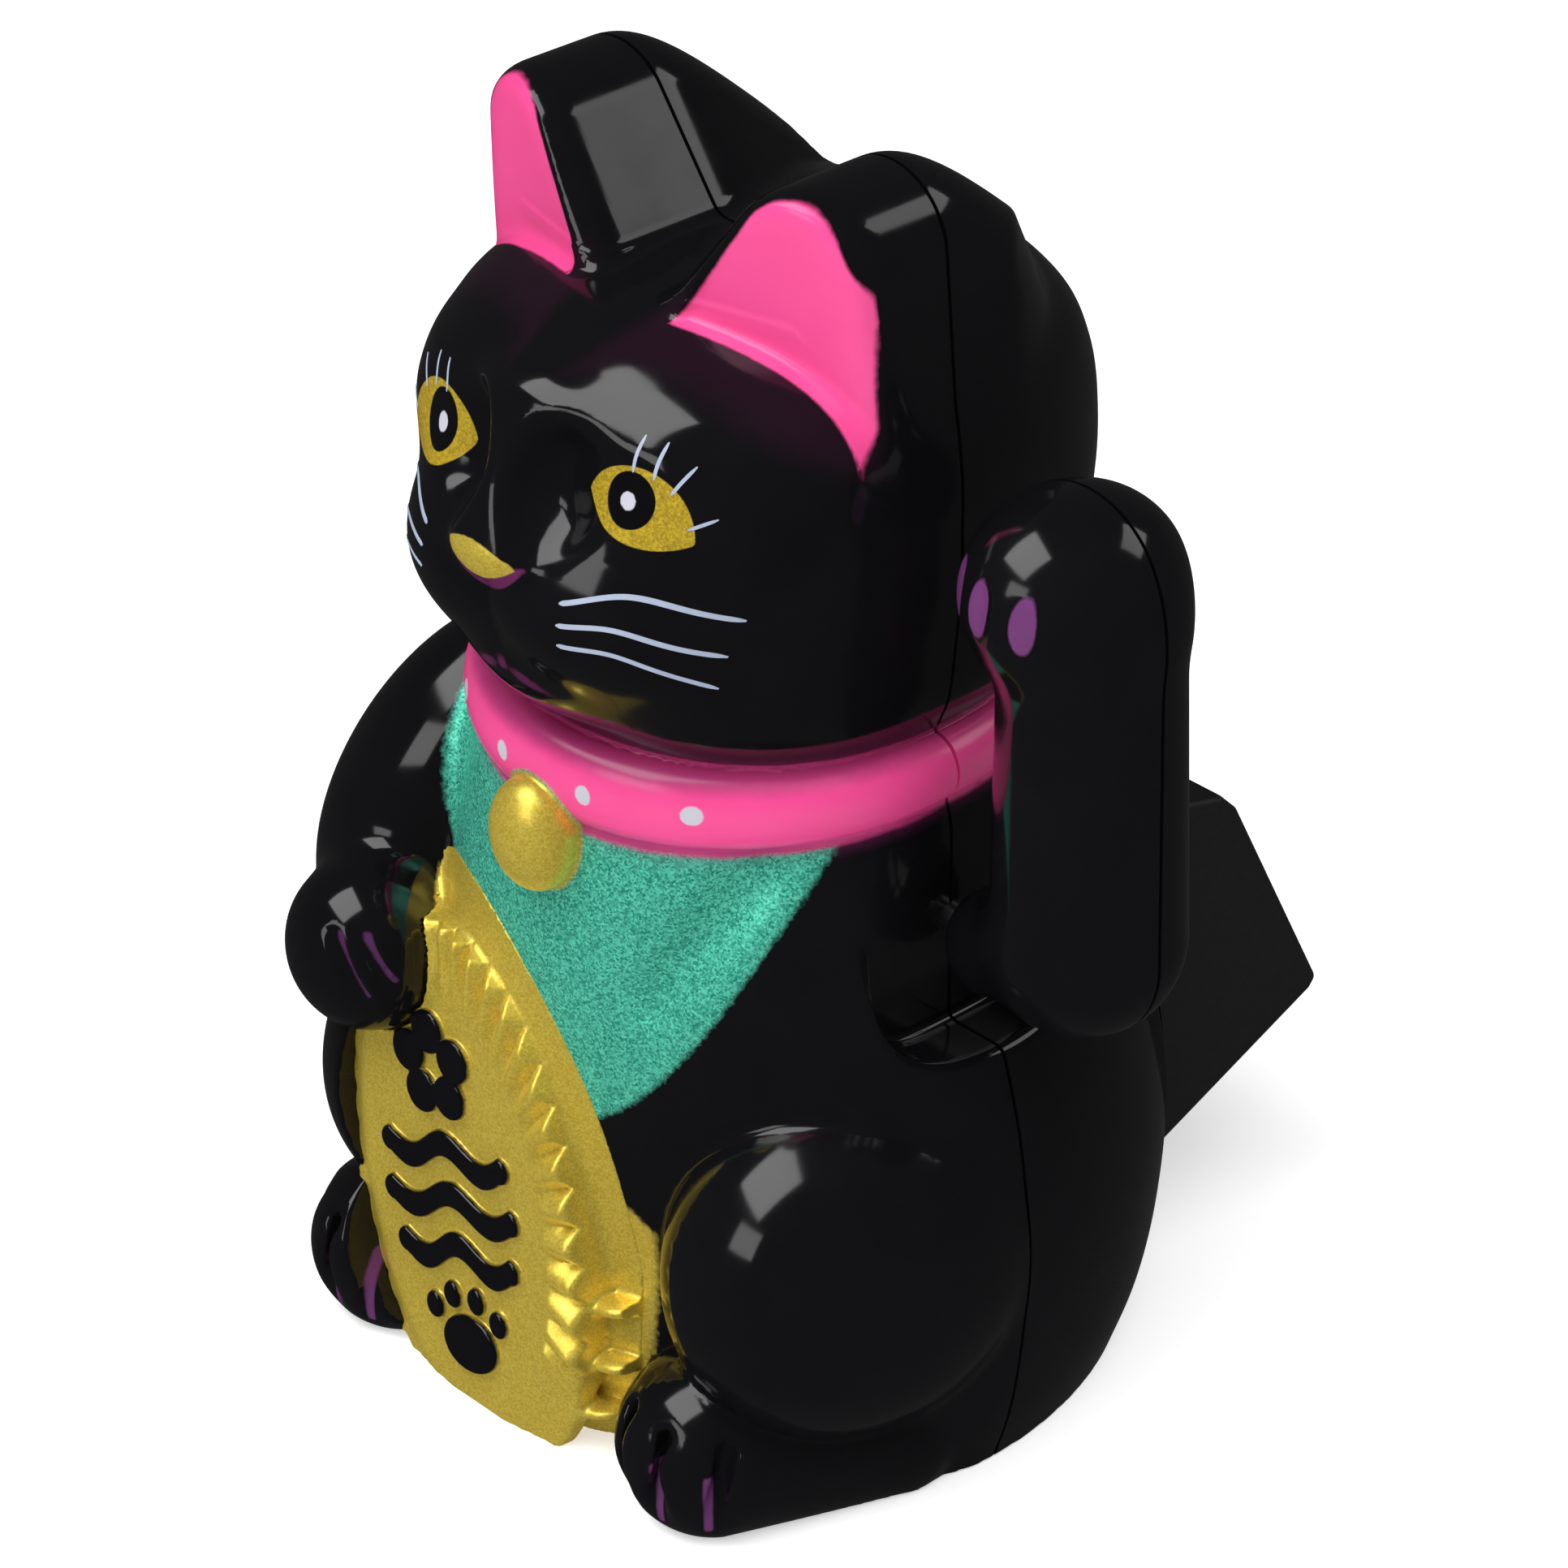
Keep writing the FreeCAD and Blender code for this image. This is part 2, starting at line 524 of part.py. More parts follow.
weight = box(SWING_X - 5, WEIGHT_Y - 5, magnet_top + 1.8, SWING_X + 5, WEIGHT_Y + 5, magnet_top + 10.0)
weight = weight.cut(box(SWING_X - 2, -2, 0, SWING_X + 2, 8, 60))
save(weight, "counterweight")
save(screw(SWING_X, 0, AXLE_Z + 5.1, -1, 2.3, 0.95, 1.8, 1.0), "lever_screw")
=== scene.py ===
# Looks of the beckoning cat figurine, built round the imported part.
# The moulded shells and the coin are meshed here from signed distances, and the whiskers and lashes
# are strips laid on the face. The parts inside and the rear box keep their CAD shapes and get materials.
import bpy
import bmesh
import json
import math
import numpy as np
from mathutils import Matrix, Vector

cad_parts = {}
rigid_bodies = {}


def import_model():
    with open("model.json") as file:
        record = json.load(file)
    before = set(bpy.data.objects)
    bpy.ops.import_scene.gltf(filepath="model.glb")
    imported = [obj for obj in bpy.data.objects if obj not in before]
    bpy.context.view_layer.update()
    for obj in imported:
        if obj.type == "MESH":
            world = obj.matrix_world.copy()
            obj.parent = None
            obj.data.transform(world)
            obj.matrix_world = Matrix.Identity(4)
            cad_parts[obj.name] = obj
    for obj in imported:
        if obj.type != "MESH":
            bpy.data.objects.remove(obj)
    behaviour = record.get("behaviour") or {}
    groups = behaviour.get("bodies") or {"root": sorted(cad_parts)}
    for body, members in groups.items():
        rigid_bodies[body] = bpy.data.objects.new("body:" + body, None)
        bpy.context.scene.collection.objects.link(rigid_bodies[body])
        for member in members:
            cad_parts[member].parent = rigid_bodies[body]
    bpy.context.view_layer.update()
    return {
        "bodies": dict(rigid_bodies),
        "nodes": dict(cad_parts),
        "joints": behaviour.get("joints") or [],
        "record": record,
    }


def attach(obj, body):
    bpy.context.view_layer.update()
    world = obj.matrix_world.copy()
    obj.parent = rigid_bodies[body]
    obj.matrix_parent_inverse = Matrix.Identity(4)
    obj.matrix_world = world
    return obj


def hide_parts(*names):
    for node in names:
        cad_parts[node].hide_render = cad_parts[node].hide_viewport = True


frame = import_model()
FINE = 0.5       # mesh spacing of the moulded shells, mm
COIN_FINE = 0.3  # mesh spacing of the coin, mm
GAP = 0.2                                   # half the parting gap between the shells, mm
SHELL_LIP = 1.6                             # how far a shell's cut edge is turned in, mm
F32 = np.float32


# ------------------------------------------------------------------ shapes as signed distances
# Millimetres in the part's own frame: x to the cat's left, y to its back, z up; negative is inside.
def unit(v):
    v = np.asarray(v, float)
    return v / np.linalg.norm(v)


def smin(a, b, k):
    """Union of two forms with a fillet of about k."""
    h = np.clip(0.5 + 0.5 * (b - a) / k, 0.0, 1.0)
    return b + (a - b) * h - k * h * (1.0 - h)


def smax(a, b, k):
    """Overlap of two forms with its edge rounded by about k."""
    return -smin(-a, -b, k)


def spin(axis, degrees):
    """Matrix whose columns are the axes turned about X or Y."""
    c, s = math.cos(math.radians(degrees)), math.sin(math.radians(degrees))
    if axis == "X":
        return np.array([[1, 0, 0], [0, c, -s], [0, s, c]])
    return np.array([[c, 0, s], [0, 1, 0], [-s, 0, c]])


def aim(direction):
    """Frame whose third axis runs along direction."""
    w = unit(direction)
    u = unit(np.cross((0, 1, 0), w))
    return np.stack([u, np.cross(w, u), w], 1)


def ellipsoid(p, centre, radii, frame=None):
    q = p - np.array(centre, F32)
    if frame is not None:
        q = q @ frame.astype(F32)
    r = np.array(radii, F32)
    a = q / r
    k0 = np.sqrt((a * a).sum(-1))
    a = a / r
    k1 = np.sqrt((a * a).sum(-1))
    return k0 * (k0 - 1.0) / np.maximum(k1, 1e-5)


def capsule(p, a, b, ra, rb):
    """Rod from a to b with round ends, its radius running from ra to rb."""
    a = np.array(a, F32)
    ba = np.array(b, F32) - a
    pa = p - a
    h = np.clip((pa @ ba) / (ba @ ba), 0.0, 1.0)
    return np.sqrt(((pa - h[..., None] * ba) ** 2).sum(-1)) - (ra + (rb - ra) * h)


def polygon(px, pz, corners):
    """Distance to a polygon in a plane."""
    pts = [np.array(c, float) for c in corners]
    d = np.full(px.shape, 1e9)
    inside = np.zeros(px.shape, bool)
    for i, a in enumerate(pts):
        b = pts[(i + 1) % len(pts)]
        e = b - a
        wx, wz = px - a[0], pz - a[1]
        h = np.clip((wx * e[0] + wz * e[1]) / (e @ e), 0.0, 1.0)
        d = np.minimum(d, np.hypot(wx - h * e[0], wz - h * e[1]))
        if abs(e[1]) > 1e-9:
            over = (pz >= min(a[1], b[1])) & (pz < max(a[1], b[1]))
            inside ^= over & (px < a[0] + (pz - a[1]) * e[0] / e[1])
    return np.where(inside, -d, d).astype(F32)


def oblong(x, z, a, b, n):
    """Roughly the distance to a superellipse of half sizes a and b."""
    k = (np.abs(x / a) ** n + np.abs(z / b) ** n) ** (1 / n)
    return (k - 1) * a * 0.93


def smooth_table(z, xs, ys):
    """Smooth interpolation and its slope."""
    xs, ys = np.asarray(xs, float), np.asarray(ys, float)
    d = np.diff(ys) / np.diff(xs)
    m = np.concatenate([[d[0]], (d[:-1] + d[1:]) / 2, [d[-1]]])
    zc = np.clip(z, xs[0], xs[-1])
    i = np.clip(np.searchsorted(xs, zc) - 1, 0, len(xs) - 2)
    h = xs[i + 1] - xs[i]
    t = (zc - xs[i]) / h
    y = ((2 * t**3 - 3 * t**2 + 1) * ys[i] + (t**3 - 2 * t**2 + t) * h * m[i]
         + (-2 * t**3 + 3 * t**2) * ys[i + 1] + (t**3 - t**2) * h * m[i + 1])
    s = ((6 * t**2 - 6 * t) * ys[i] / h + (3 * t**2 - 4 * t + 1) * m[i]
         + (-6 * t**2 + 6 * t) * ys[i + 1] / h + (3 * t**2 - 2 * t) * m[i + 1])
    return y.astype(F32), s.astype(F32)


def near_side(p):
    """Coordinates with the cat's right side mirrored onto its left."""
    q = p.copy()
    q[..., 0] = np.abs(p[..., 0])
    return q


# ------------------------------------------------------------------ body sections
# (z, half width, rear depth, front depth, roundness exponent), floor to crown
BODY = (
    (0.0, 33.5, 38.8, 22.0, 2.0), (6.0, 35.4, 40.8, 23.2, 2.0), (14.0, 36.8, 42.0, 24.4, 2.0),
    (25.0, 37.5, 42.0, 25.0, 2.0), (38.0, 36.0, 39.4, 25.5, 2.0), (50.0, 32.4, 35.0, 26.0, 2.0),
    (60.0, 29.0, 31.2, 25.6, 2.0), (68.0, 26.4, 28.4, 24.4, 2.0), (72.0, 24.4, 26.6, 22.8, 2.1),
    (74.5, 23.5, 25.4, 22.0, 2.1), (77.0, 24.6, 27.2, 24.0, 2.2), (80.0, 25.8, 29.4, 26.2, 2.2),
    (85.0, 26.5, 31.6, 28.0, 2.2), (91.0, 27.1, 33.0, 29.0, 2.2), (97.0, 27.2, 33.2, 29.0, 2.2),
    (104.0, 26.8, 31.6, 28.2, 2.25), (109.0, 25.5, 28.6, 26.6, 2.3), (112.6, 22.6, 24.4, 23.4, 2.25),
    (114.8, 18.6, 19.4, 19.2, 2.1), (116.2, 13.6, 14.0, 14.0, 2.0), (117.0, 7.0, 7.4, 7.6, 2.0),
)
NECK_Z = 74.5
BRIM_HALF, BRIM_REAR, BRIM_FRONT, BRIM_POWER = 26.2, 29.5, 27.4, 2.25    # slope round the crown
BRIM_Z = 108.5                          # height at which that slope has these half sizes


def stack(p, rows):
    """Superellipse sections stacked along Z; distance to first order."""
    x, y, z = np.abs(p[..., 0]), p[..., 1], p[..., 2]
    zs = [r[0] for r in rows]
    a, da = smooth_table(z, zs, [r[1] for r in rows])
    rear, dr = smooth_table(z, zs, [r[2] for r in rows])
    front, df = smooth_table(z, zs, [r[3] for r in rows])
    n = smooth_table(z, zs, [r[4] for r in rows])[0]
    b = np.where(y > 0, rear, front)
    db = np.where(y > 0, dr, df)
    u, v = x / a, np.abs(y) / b
    un, vn = u**n, v**n
    k = np.maximum((un + vn) ** (1.0 / n), 0.05)
    c = k / np.maximum(un + vn, 1e-6)
    gx = c * un / np.maximum(x, 0.3)
    gy = c * vn / np.maximum(np.abs(y), 0.3)
    gz = c * (un * da / a + vn * db / b)
    d = (k - 1.0) / np.maximum(np.sqrt(gx * gx + gy * gy + gz * gz), 0.012)
    deep = np.where(y > 0, BRIM_REAR, BRIM_FRONT)
    brim = ((x / BRIM_HALF) ** BRIM_POWER + (np.abs(y) / deep) ** BRIM_POWER) ** (1 / BRIM_POWER)
    d = np.maximum(d, np.where(z > 100, 0.8 * (brim - 1.0) * 26.0 + 0.6 * (z - BRIM_Z) - 0.1, -9.0))
    return np.maximum(np.maximum(d, -z), z - zs[-1])


# ------------------------------------------------------------------ ears
EAR_TIP = (18.1, -12.2, 129.4)          # a point in the panel's plane
EAR_NORMAL = unit((0.242, -0.968, -0.064))
EAR_PANEL = ((17.9, 124.6), (20.0, 120.5), (20.4, 103.0), (9.2, 110.6))
EAR_PANEL_ROUND = 4.8
EAR_CORNERS = ((17.6, 122.7), (19.6, 101.0), (8.0, 110.0))
EAR_ROUND = 7.2
EAR_FOOT_Z = 92.0                       # the ear's form starts at this height, inside the head


def ear_plane(q):
    """Height over the plane of the sprayed panel."""
    return ((q - np.array(EAR_TIP, F32)) @ EAR_NORMAL.astype(F32))


def ear_outline(q):
    """Distance to the edge of the sprayed panel, seen from the front."""
    return polygon(q[..., 0], q[..., 2], EAR_PANEL) - EAR_PANEL_ROUND


def ear(q):
    """Rounded triangle that sinks towards the back, cut off in front and recessed for its panel."""
    x, y, z = q[..., 0], q[..., 1], q[..., 2]
    behind = np.clip(y, 0.0, None)
    drop = 0.95 * (np.sqrt(behind * behind + 36.0) - 6.0)
    d = polygon(x, z + drop, EAR_CORNERS) - EAR_ROUND
    deep = np.where(y > 0, 31.5 - 0.62 * np.clip(z - 100.0, 0.0, 40.0), 27.6)
    plan = ((x / 26.7) ** 2.2 + (np.abs(y) / deep) ** 2.2) ** (1 / 2.2)
    d = smax(d, (plan - 1.0) * 26.0, 0.4)
    d = smax(d, ear_plane(q) - 0.9, 4.5)
    d = smax(d, EAR_FOOT_Z - z, 4.0)
    return smax(d, -smax(ear_outline(q), -ear_plane(q), 0.7), 0.8)


# ------------------------------------------------------------------ face
EYE_ALONG = unit((0.90, 0.38, -0.20))
EYE_OUT = unit((0.38, -0.92, 0.05))
EYE_TURN = np.stack([EYE_ALONG, EYE_OUT, np.cross(EYE_ALONG, EYE_OUT)], 1)


def head_front(p, q):
    """Muzzle, bridge of the nose and chin; q is p on the mirrored side."""
    d = ellipsoid(q, (5.4, -21.6, 91.6), (12.0, 10.2, 8.6))
    narrow = p * np.array((0.62, 1.0, 1.0), F32)
    d = smin(d, capsule(narrow, (0, -30.7, 96.6), (0, -25.6, 108.8), 2.9, 2.2), 1.6)
    return smin(d, ellipsoid(p, (0, -24.2, 84.6), (6.6, 5.2, 4.0)), 2.5)


def socket(q):
    """Hollow beside the nose under the brow, running out along the eye."""
    inner = ellipsoid(q, (6.8, -31.0, 104.6), (5.0, 6.0, 6.2))
    outer = ellipsoid(q, (12.6, -29.4, 105.0), (9.6, 4.8, 4.6), EYE_TURN)
    low = capsule(q, (6.6, -34.0, 97.6), (6.6, -31.6, 103.0), 2.2, 4.6)
    return smin(smin(inner, outer, 2.5), low, 2.0)


def eyeball(q):
    """Bulge of the eye within its hollow."""
    return ellipsoid(q, (13.0, -18.6, 102.0), (10.0, 6.6, 7.6), EYE_TURN)


def cleft(p):
    """Groove from the nose down to the mouth."""
    return capsule(p, (0, -33.4, 92.6), (0, -31.6, 86.6), 0.5, 0.7)


# ------------------------------------------------------------------ limbs
THIGH_AT, THIGH_SIZE = (24.6, -10.0, 25.0), (15.0, 20.2, 18.5)
FOOT_AT = (20.5, -24.2)                                  # ball of the foot
TOES = ((16.9, -32.5), (21.8, -33.3), (26.9, -30.7))     # grooves between the toes
FAR_FOOT_OUT = 4.0                                       # the far foot stands further out
PAW_GROOVES = (((-21.4, -34.3, 48.0), (-17.8, -33.2, 41.2)), ((-19.2, -32.8, 48.6), (-16.0, -31.2, 42.8)))


def paired(p):
    """Mirrored coordinates for the feet."""
    q = p.copy()
    x = p[..., 0]
    q[..., 0] = np.where(x < 0, -x - FAR_FOOT_OUT, x)
    return q


def thigh(q):
    return ellipsoid(q, THIGH_AT, THIGH_SIZE)


def foot(q):
    """Foot lying forward, with grooves between the toes."""
    d = capsule(q, (*FOOT_AT, 7.4), (27.0, -8.0, 4.5), 9.2, 7.0)
    for x, y in TOES:
        d = smax(d, -capsule(q, (x, y, 2.0), (x, y + 2.4, 11.5), 0.8, 0.7), 1.8)
    return d


def far_paw(p):
    """The other front leg, holding the coin."""
    reach = ellipsoid(p, (-28.0, -13.0, 54.5), (10.2, 10.6, 19.5), aim((-5, -10, -17)))
    paw = ellipsoid(p, (-24.0, -27.5, 43.2), (8.2, 7.8, 8.6))
    d = smin(reach, paw, 4.0)
    for a, b in PAW_GROOVES:
        d = smax(d, -capsule(p, a, b, 0.7, 0.6), 0.9)
    return d


# ------------------------------------------------------------------ coin
COIN_AT = (-9.8, -26.6, 24.3)
COIN_TURN = spin("Y", -14) @ spin("X", -4)
COIN_HALF, COIN_LONG, COIN_POWER = 15.4, 25.2, 2.2
COIN_MIDDLE = (-1.0, -2.6)                              # middle of the outline in the coin's own axes
FLUTES = 42
LONG_RIDGES = ((16.4, -11.2), (15.4, -17.2), (11.6, -22.8))
MOTIF_X = -1.6
BLOSSOM_Z, PRINT_Z = 10.6, -18.0
WAVES = ((8.2, 1.6), (8.8, -3.6), (7.8, -8.8))          # half length and height of each band
TOE_PRINTS = ((-4.8, -14.9), (-1.8, -13.2), (1.8, -13.2), (4.8, -14.9))


def coin_place(p):
    """Coin's own axes: x across, y into the body, z up its length."""
    return (p - np.array(COIN_AT, F32)) @ COIN_TURN.astype(F32)


def coin_edge(q):
    """Distance to the coin's outline, in its own axes."""
    x, z = COIN_MIDDLE
    return oblong(q[..., 0] - x, q[..., 2] - z, COIN_HALF, COIN_LONG, COIN_POWER)


def coin_core(p):
    """The thickness behind the coin's face, running out into the belly."""
    q = coin_place(p)
    d = np.maximum(coin_edge(q) + 1.4, np.abs(q[..., 1] - 7.2) - 6.8)
    return np.minimum(d, capsule(p, (1.0, -20.5, 3.0), (7.5, -18.5, 12.0), 5.5, 6.0))


def petal_ring(x, z, r, size, count):
    """Distance to a flower of round petals."""
    t = np.arctan2(z, x)
    step = 2 * math.pi / count
    t = (t - math.pi / 2 + step / 2) % step - step / 2
    k = np.hypot(x, z)
    return np.hypot(k * np.cos(t) - r, k * np.sin(t)) - size


def wave(x, z, half, height, thick):
    """Band that rises and falls along its length."""
    inside = np.clip(x, -half, half)
    mid = height * np.cos(inside * math.pi / half * 1.5)
    return np.hypot(x - inside, z - mid) * 0.85 - thick


def motif(x, z):
    """Raised, black-painted decoration of the coin: blossom, three waves and a paw print."""
    x = x - MOTIF_X
    d = petal_ring(x, z - BLOSSOM_Z, 3.5, 2.25, 5)
    d = np.maximum(d, 1.0 - np.hypot(x, z - BLOSSOM_Z))
    for k, (half, at) in enumerate(WAVES):
        d = np.minimum(d, wave(x * (-1) ** k, z - at, half, 1.1, 1.15))
    d = np.minimum(d, (np.hypot(x / 4.0, (z - PRINT_Z) / 3.0) - 1) * 3.3)
    for u, w in TOE_PRINTS:
        d = np.minimum(d, np.hypot(x - u, (z - w) * 0.85) - 1.2)
    return d


def coin_disc(p):
    """Face of the coin with a fluted rim, taller towards the cat's left, and the raised motif."""
    q = coin_place(p)
    x, y, z = q[..., 0], q[..., 1], q[..., 2]
    edge = coin_edge(q)
    turn = np.arctan2((z - COIN_MIDDLE[1]) * 0.62, x - COIN_MIDDLE[0])
    flute = np.abs(np.sin(turn * (FLUTES / 2)))
    face = smax(edge, np.abs(y - 0.2) - 2.4, 2.4)
    tall = 1.8 * flute * np.clip((x + 3.0) / 8.0, 0.1, 1.0) * np.clip((z + 21.0) / 5.0, 0.0, 1.0)
    rim = smax(np.abs(edge + 0.5) - 1.9, np.abs(y - 0.2) - 1.4 - tall, 0.9)
    for u, w in LONG_RIDGES:
        rim = smin(rim, ellipsoid(q, (u, 1.9, w), (3.2, 2.4, 0.9)), 0.9)
    d = smin(face, rim, 0.8)
    d = smin(d, smax(motif(x, z), np.abs(y + 2.0) - 1.0, 0.5), 0.35)
    return np.maximum(d, -p[..., 2])


# ------------------------------------------------------------------ the whole body
AXLE_Z = 57.5                                           # swing axis of the raised arm
POCKET_X, POCKET_TOP, POCKET_HALF = 26.5, 70.2, 11.0    # room for the arm in the body's side
BELL_AT, BELL_SIZE = (-0.6, -26.4, 65.2), (4.8, 3.6, 5.7)
COLLAR_Z, COLLAR_LIFT = 71.2, 1.4                       # the collar rises towards the back
COLLAR_THICK = 3.0
BIB_FOLD = ((20.5, -17.9, 67.0), (12.5, -25.2, 51.5))


def cat_body(p):
    """Body, head and limbs, without the collar, the bell and the pocket of the arm."""
    z = p[..., 2]
    q = near_side(p)
    d = stack(p, BODY)
    head = smin(d, ear(q), 1.0)
    head = smin(head, head_front(p, q), 5.0)
    head = smax(head, -socket(q), 1.6)
    head = smin(head, eyeball(q), 3.4)
    head = smax(head, -cleft(p), 1.2)
    d = np.where(z > NECK_Z, head, d)
    d = smin(d, coin_core(p), 7.0)
    d = smin(d, thigh(q), 0.9)
    d = smin(d, foot(paired(p)), 0.7)
    q = coin_place(p)
    before_coin = np.maximum(coin_edge(q) - 0.4, q[..., 1] + 1.0)
    d = smax(d, -before_coin, 0.5)
    d = smin(d, far_paw(p), 2.0)
    d = smax(d, -capsule(p, *BIB_FOLD, 2.0, 1.6), 3.0)
    return np.maximum(d, -z)


def collar(p):
    """Oval ring whose section is taller in front; towards the back it is nearly round and lies higher."""
    x, y, z = p[..., 0], p[..., 1], p[..., 2]
    k = np.sqrt((x / 24.3) ** 2 + ((y - 0.2) / 23.6) ** 2)
    side = np.clip((y + 24) / 24, 0, 1)
    tall = 0.68 + 0.24 * side
    middle = COLLAR_Z + COLLAR_LIFT * side
    return np.sqrt(((k - 1.0) * 23.9) ** 2 + ((z - middle) * tall) ** 2) - COLLAR_THICK


def pocket(p):
    """Recess beside the arm: nearly square below the axle, widening a little above it."""
    x, y, z = p[..., 0], p[..., 1], p[..., 2]
    up = z - AXLE_Z
    wide = np.minimum(POCKET_HALF + 0.25 * up, 12.8)
    square = ((y / POCKET_HALF) ** 4 + (up / POCKET_HALF) ** 4) ** 0.25 * POCKET_HALF - POCKET_HALF
    low = np.where(z < AXLE_Z, square, np.maximum(np.abs(y) - wide, np.hypot(y, up) - 40))
    d = smax(low, POCKET_X - x, 1.0)
    return np.maximum(d, z - POCKET_TOP)


def bell(p):
    return ellipsoid(p, BELL_AT, BELL_SIZE)


def cat(p):
    """The whole moulded body."""
    d = cat_body(p)
    d = smax(d, -pocket(p), 1.0)
    d = smin(d, collar(p), 0.3)
    return smin(d, bell(p), 0.5)


def coin_skin(p):
    """The coin as a thin shell standing out of the belly, a hair over the body's own all round."""
    q = coin_place(p)
    legs = np.minimum(foot(paired(p)), thigh(near_side(p)))
    paw = far_paw(p)
    skin = cat(p)
    belly = np.maximum(skin - 0.1, 0.4 - np.minimum(legs, paw))
    d = smin(coin_disc(p), belly, 0.7)
    limits = np.maximum(np.maximum(coin_edge(q) - 4.5, 0.3 - paw), 0.02 - p[..., 2])
    return np.maximum(np.maximum(d, -1.4 - d), np.maximum(limits, -1.8 - skin))


def arm(p):
    """Raised arm with its paw, its stub on the axle and the grooves between the fingers."""
    d = capsule(p, (43.7, 0.2, 63.8), (43.5, -0.2, 93.0), 8.9, 8.3)
    d = smin(d, ellipsoid(p, (42.0, -1.2, 98.3), (9.4, 10.6, 9.3)), 3.5)
    d = smin(d, capsule(p, (42.0, 0.2, 60.6), (33.0, 0.2, 57.6), 5.6, 5.2), 6.0)
    for x, z in ((36.6, 95.4), (40.9, 94.6), (45.2, 95.2)):
        d = smax(d, -capsule(p, (x, -13.4, z), (x + 0.2, -12.0, z + 6.0), 0.9, 0.8), 1.2)
    return d


# ------------------------------------------------------------------ meshing
CELL_CORNERS = [(i, j, k) for i in (0, 1) for j in (0, 1) for k in (0, 1)]


def in_parts(fn, p, size=150000):
    """fn of the points, worked out a batch at a time to save memory."""
    if len(p) == 0:
        return np.zeros(0, F32)
    return np.concatenate([np.asarray(fn(p[i:i + size]), F32) for i in range(0, len(p), size)])


def slope(fn, p, e=0.06):
    g = np.empty_like(p)
    for k in range(3):
        o = np.zeros(3, F32)
        o[k] = e
        g[:, k] = in_parts(fn, p + o) - in_parts(fn, p - o)
    return g / (2 * e)


def unit_rows(g):
    return g / np.maximum(np.linalg.norm(g, axis=1), 1e-6)[:, None]


def blown_up(values, block):
    """Each cell repeated block times along every axis."""
    return np.repeat(np.repeat(np.repeat(values, block, 0), block, 1), block, 2)


def sampled(fn, low, high, step, block=4):
    """Values of fn on a grid, exact near the surface and only signed elsewhere."""
    low = np.array(low, F32)
    n = np.ceil((np.array(high) - low) / (step * block)).astype(int)
    centre = np.stack(np.meshgrid(*[np.arange(k) for k in n], indexing="ij"), -1).reshape(-1, 3)
    mid = low + (centre.astype(F32) + 0.5) * F32(step * block)
    d = in_parts(fn, mid).reshape(n)
    wide = blown_up(np.abs(d) < step * block * 1.5, block)
    a, b, c = wide.shape
    near = np.zeros(n * block + 1, bool)
    for i, j, k in CELL_CORNERS:
        near[i:i + a, j:j + b, k:k + c] |= wide
    values = np.pad(blown_up(np.sign(d), block), ((0, 1),) * 3, mode="edge").astype(F32)
    at = np.argwhere(near)
    values[near] = in_parts(fn, low + at.astype(F32) * F32(step))
    return values, low


def cell_points(values, cells):
    """One point per cell, the mean of where the surface crosses its edges, in cells."""
    where, count = np.zeros((len(cells), 3)), np.zeros(len(cells))
    for corner in CELL_CORNERS:
        for axis in range(3):
            if corner[axis]:
                continue
            a = cells + corner
            b = a.copy()
            b[:, axis] += 1
            va, vb = values[tuple(a.T)], values[tuple(b.T)]
            cut = (va < 0) != (vb < 0)
            t = np.where(cut, va / np.where(cut, va - vb, 1), 0)
            at = np.tile(np.array(corner, float), (len(cells), 1))
            at[:, axis] += t
            where += at * cut[:, None]
            count += cut
    return cells + where / count[:, None]


def cell_quads(inside, ids):
    """A quad round every grid edge that crosses the surface, facing out."""
    quads = []
    size = inside.shape
    for axis in range(3):
        u, v = (axis + 1) % 3, (axis + 2) % 3
        first = np.take(inside, range(size[axis] - 1), axis)
        second = np.take(inside, range(1, size[axis]), axis)
        e = np.argwhere(first != second)
        e = e[(e[:, u] > 0) & (e[:, v] > 0) & (e[:, u] < size[u] - 1) & (e[:, v] < size[v] - 1)]
        ring = []
        for du, dv in ((1, 1), (0, 1), (0, 0), (1, 0)):
            c = e.copy()
            c[:, u] -= du
            c[:, v] -= dv
            ring.append(ids[tuple(c.T)])
        quad = np.stack(ring, 1)
        turn = ~first[tuple(e.T)]
        quad[turn] = quad[turn][:, ::-1]
        quads.append(quad)
    return np.concatenate(quads)


def surface(fn, low, high, step):
    """Quads on the zero surface of fn, with vertices moved onto it."""
    values, low = sampled(fn, low, high, step)
    inside = values < 0
    total = np.zeros([k - 1 for k in inside.shape], np.int8)
    a, b, c = total.shape
    for i, j, k in CELL_CORNERS:
        total += inside[i:a + i, j:b + j, k:c + k]
    mixed = (total > 0) & (total < 8)
    ids = np.full(mixed.shape, -1, np.int32)
    cells = np.argwhere(mixed)
    ids[mixed] = np.arange(len(cells))
    points = (low + cell_points(values, cells) * step).astype(F32)
    for _ in range(2):
        d, g = in_parts(fn, points), slope(fn, points)
        size = np.maximum((g * g).sum(1), 0.05)
        points = points - np.clip(d / size, -0.5 * step, 0.5 * step)[:, None] * g
    return points, cell_quads(inside, ids)


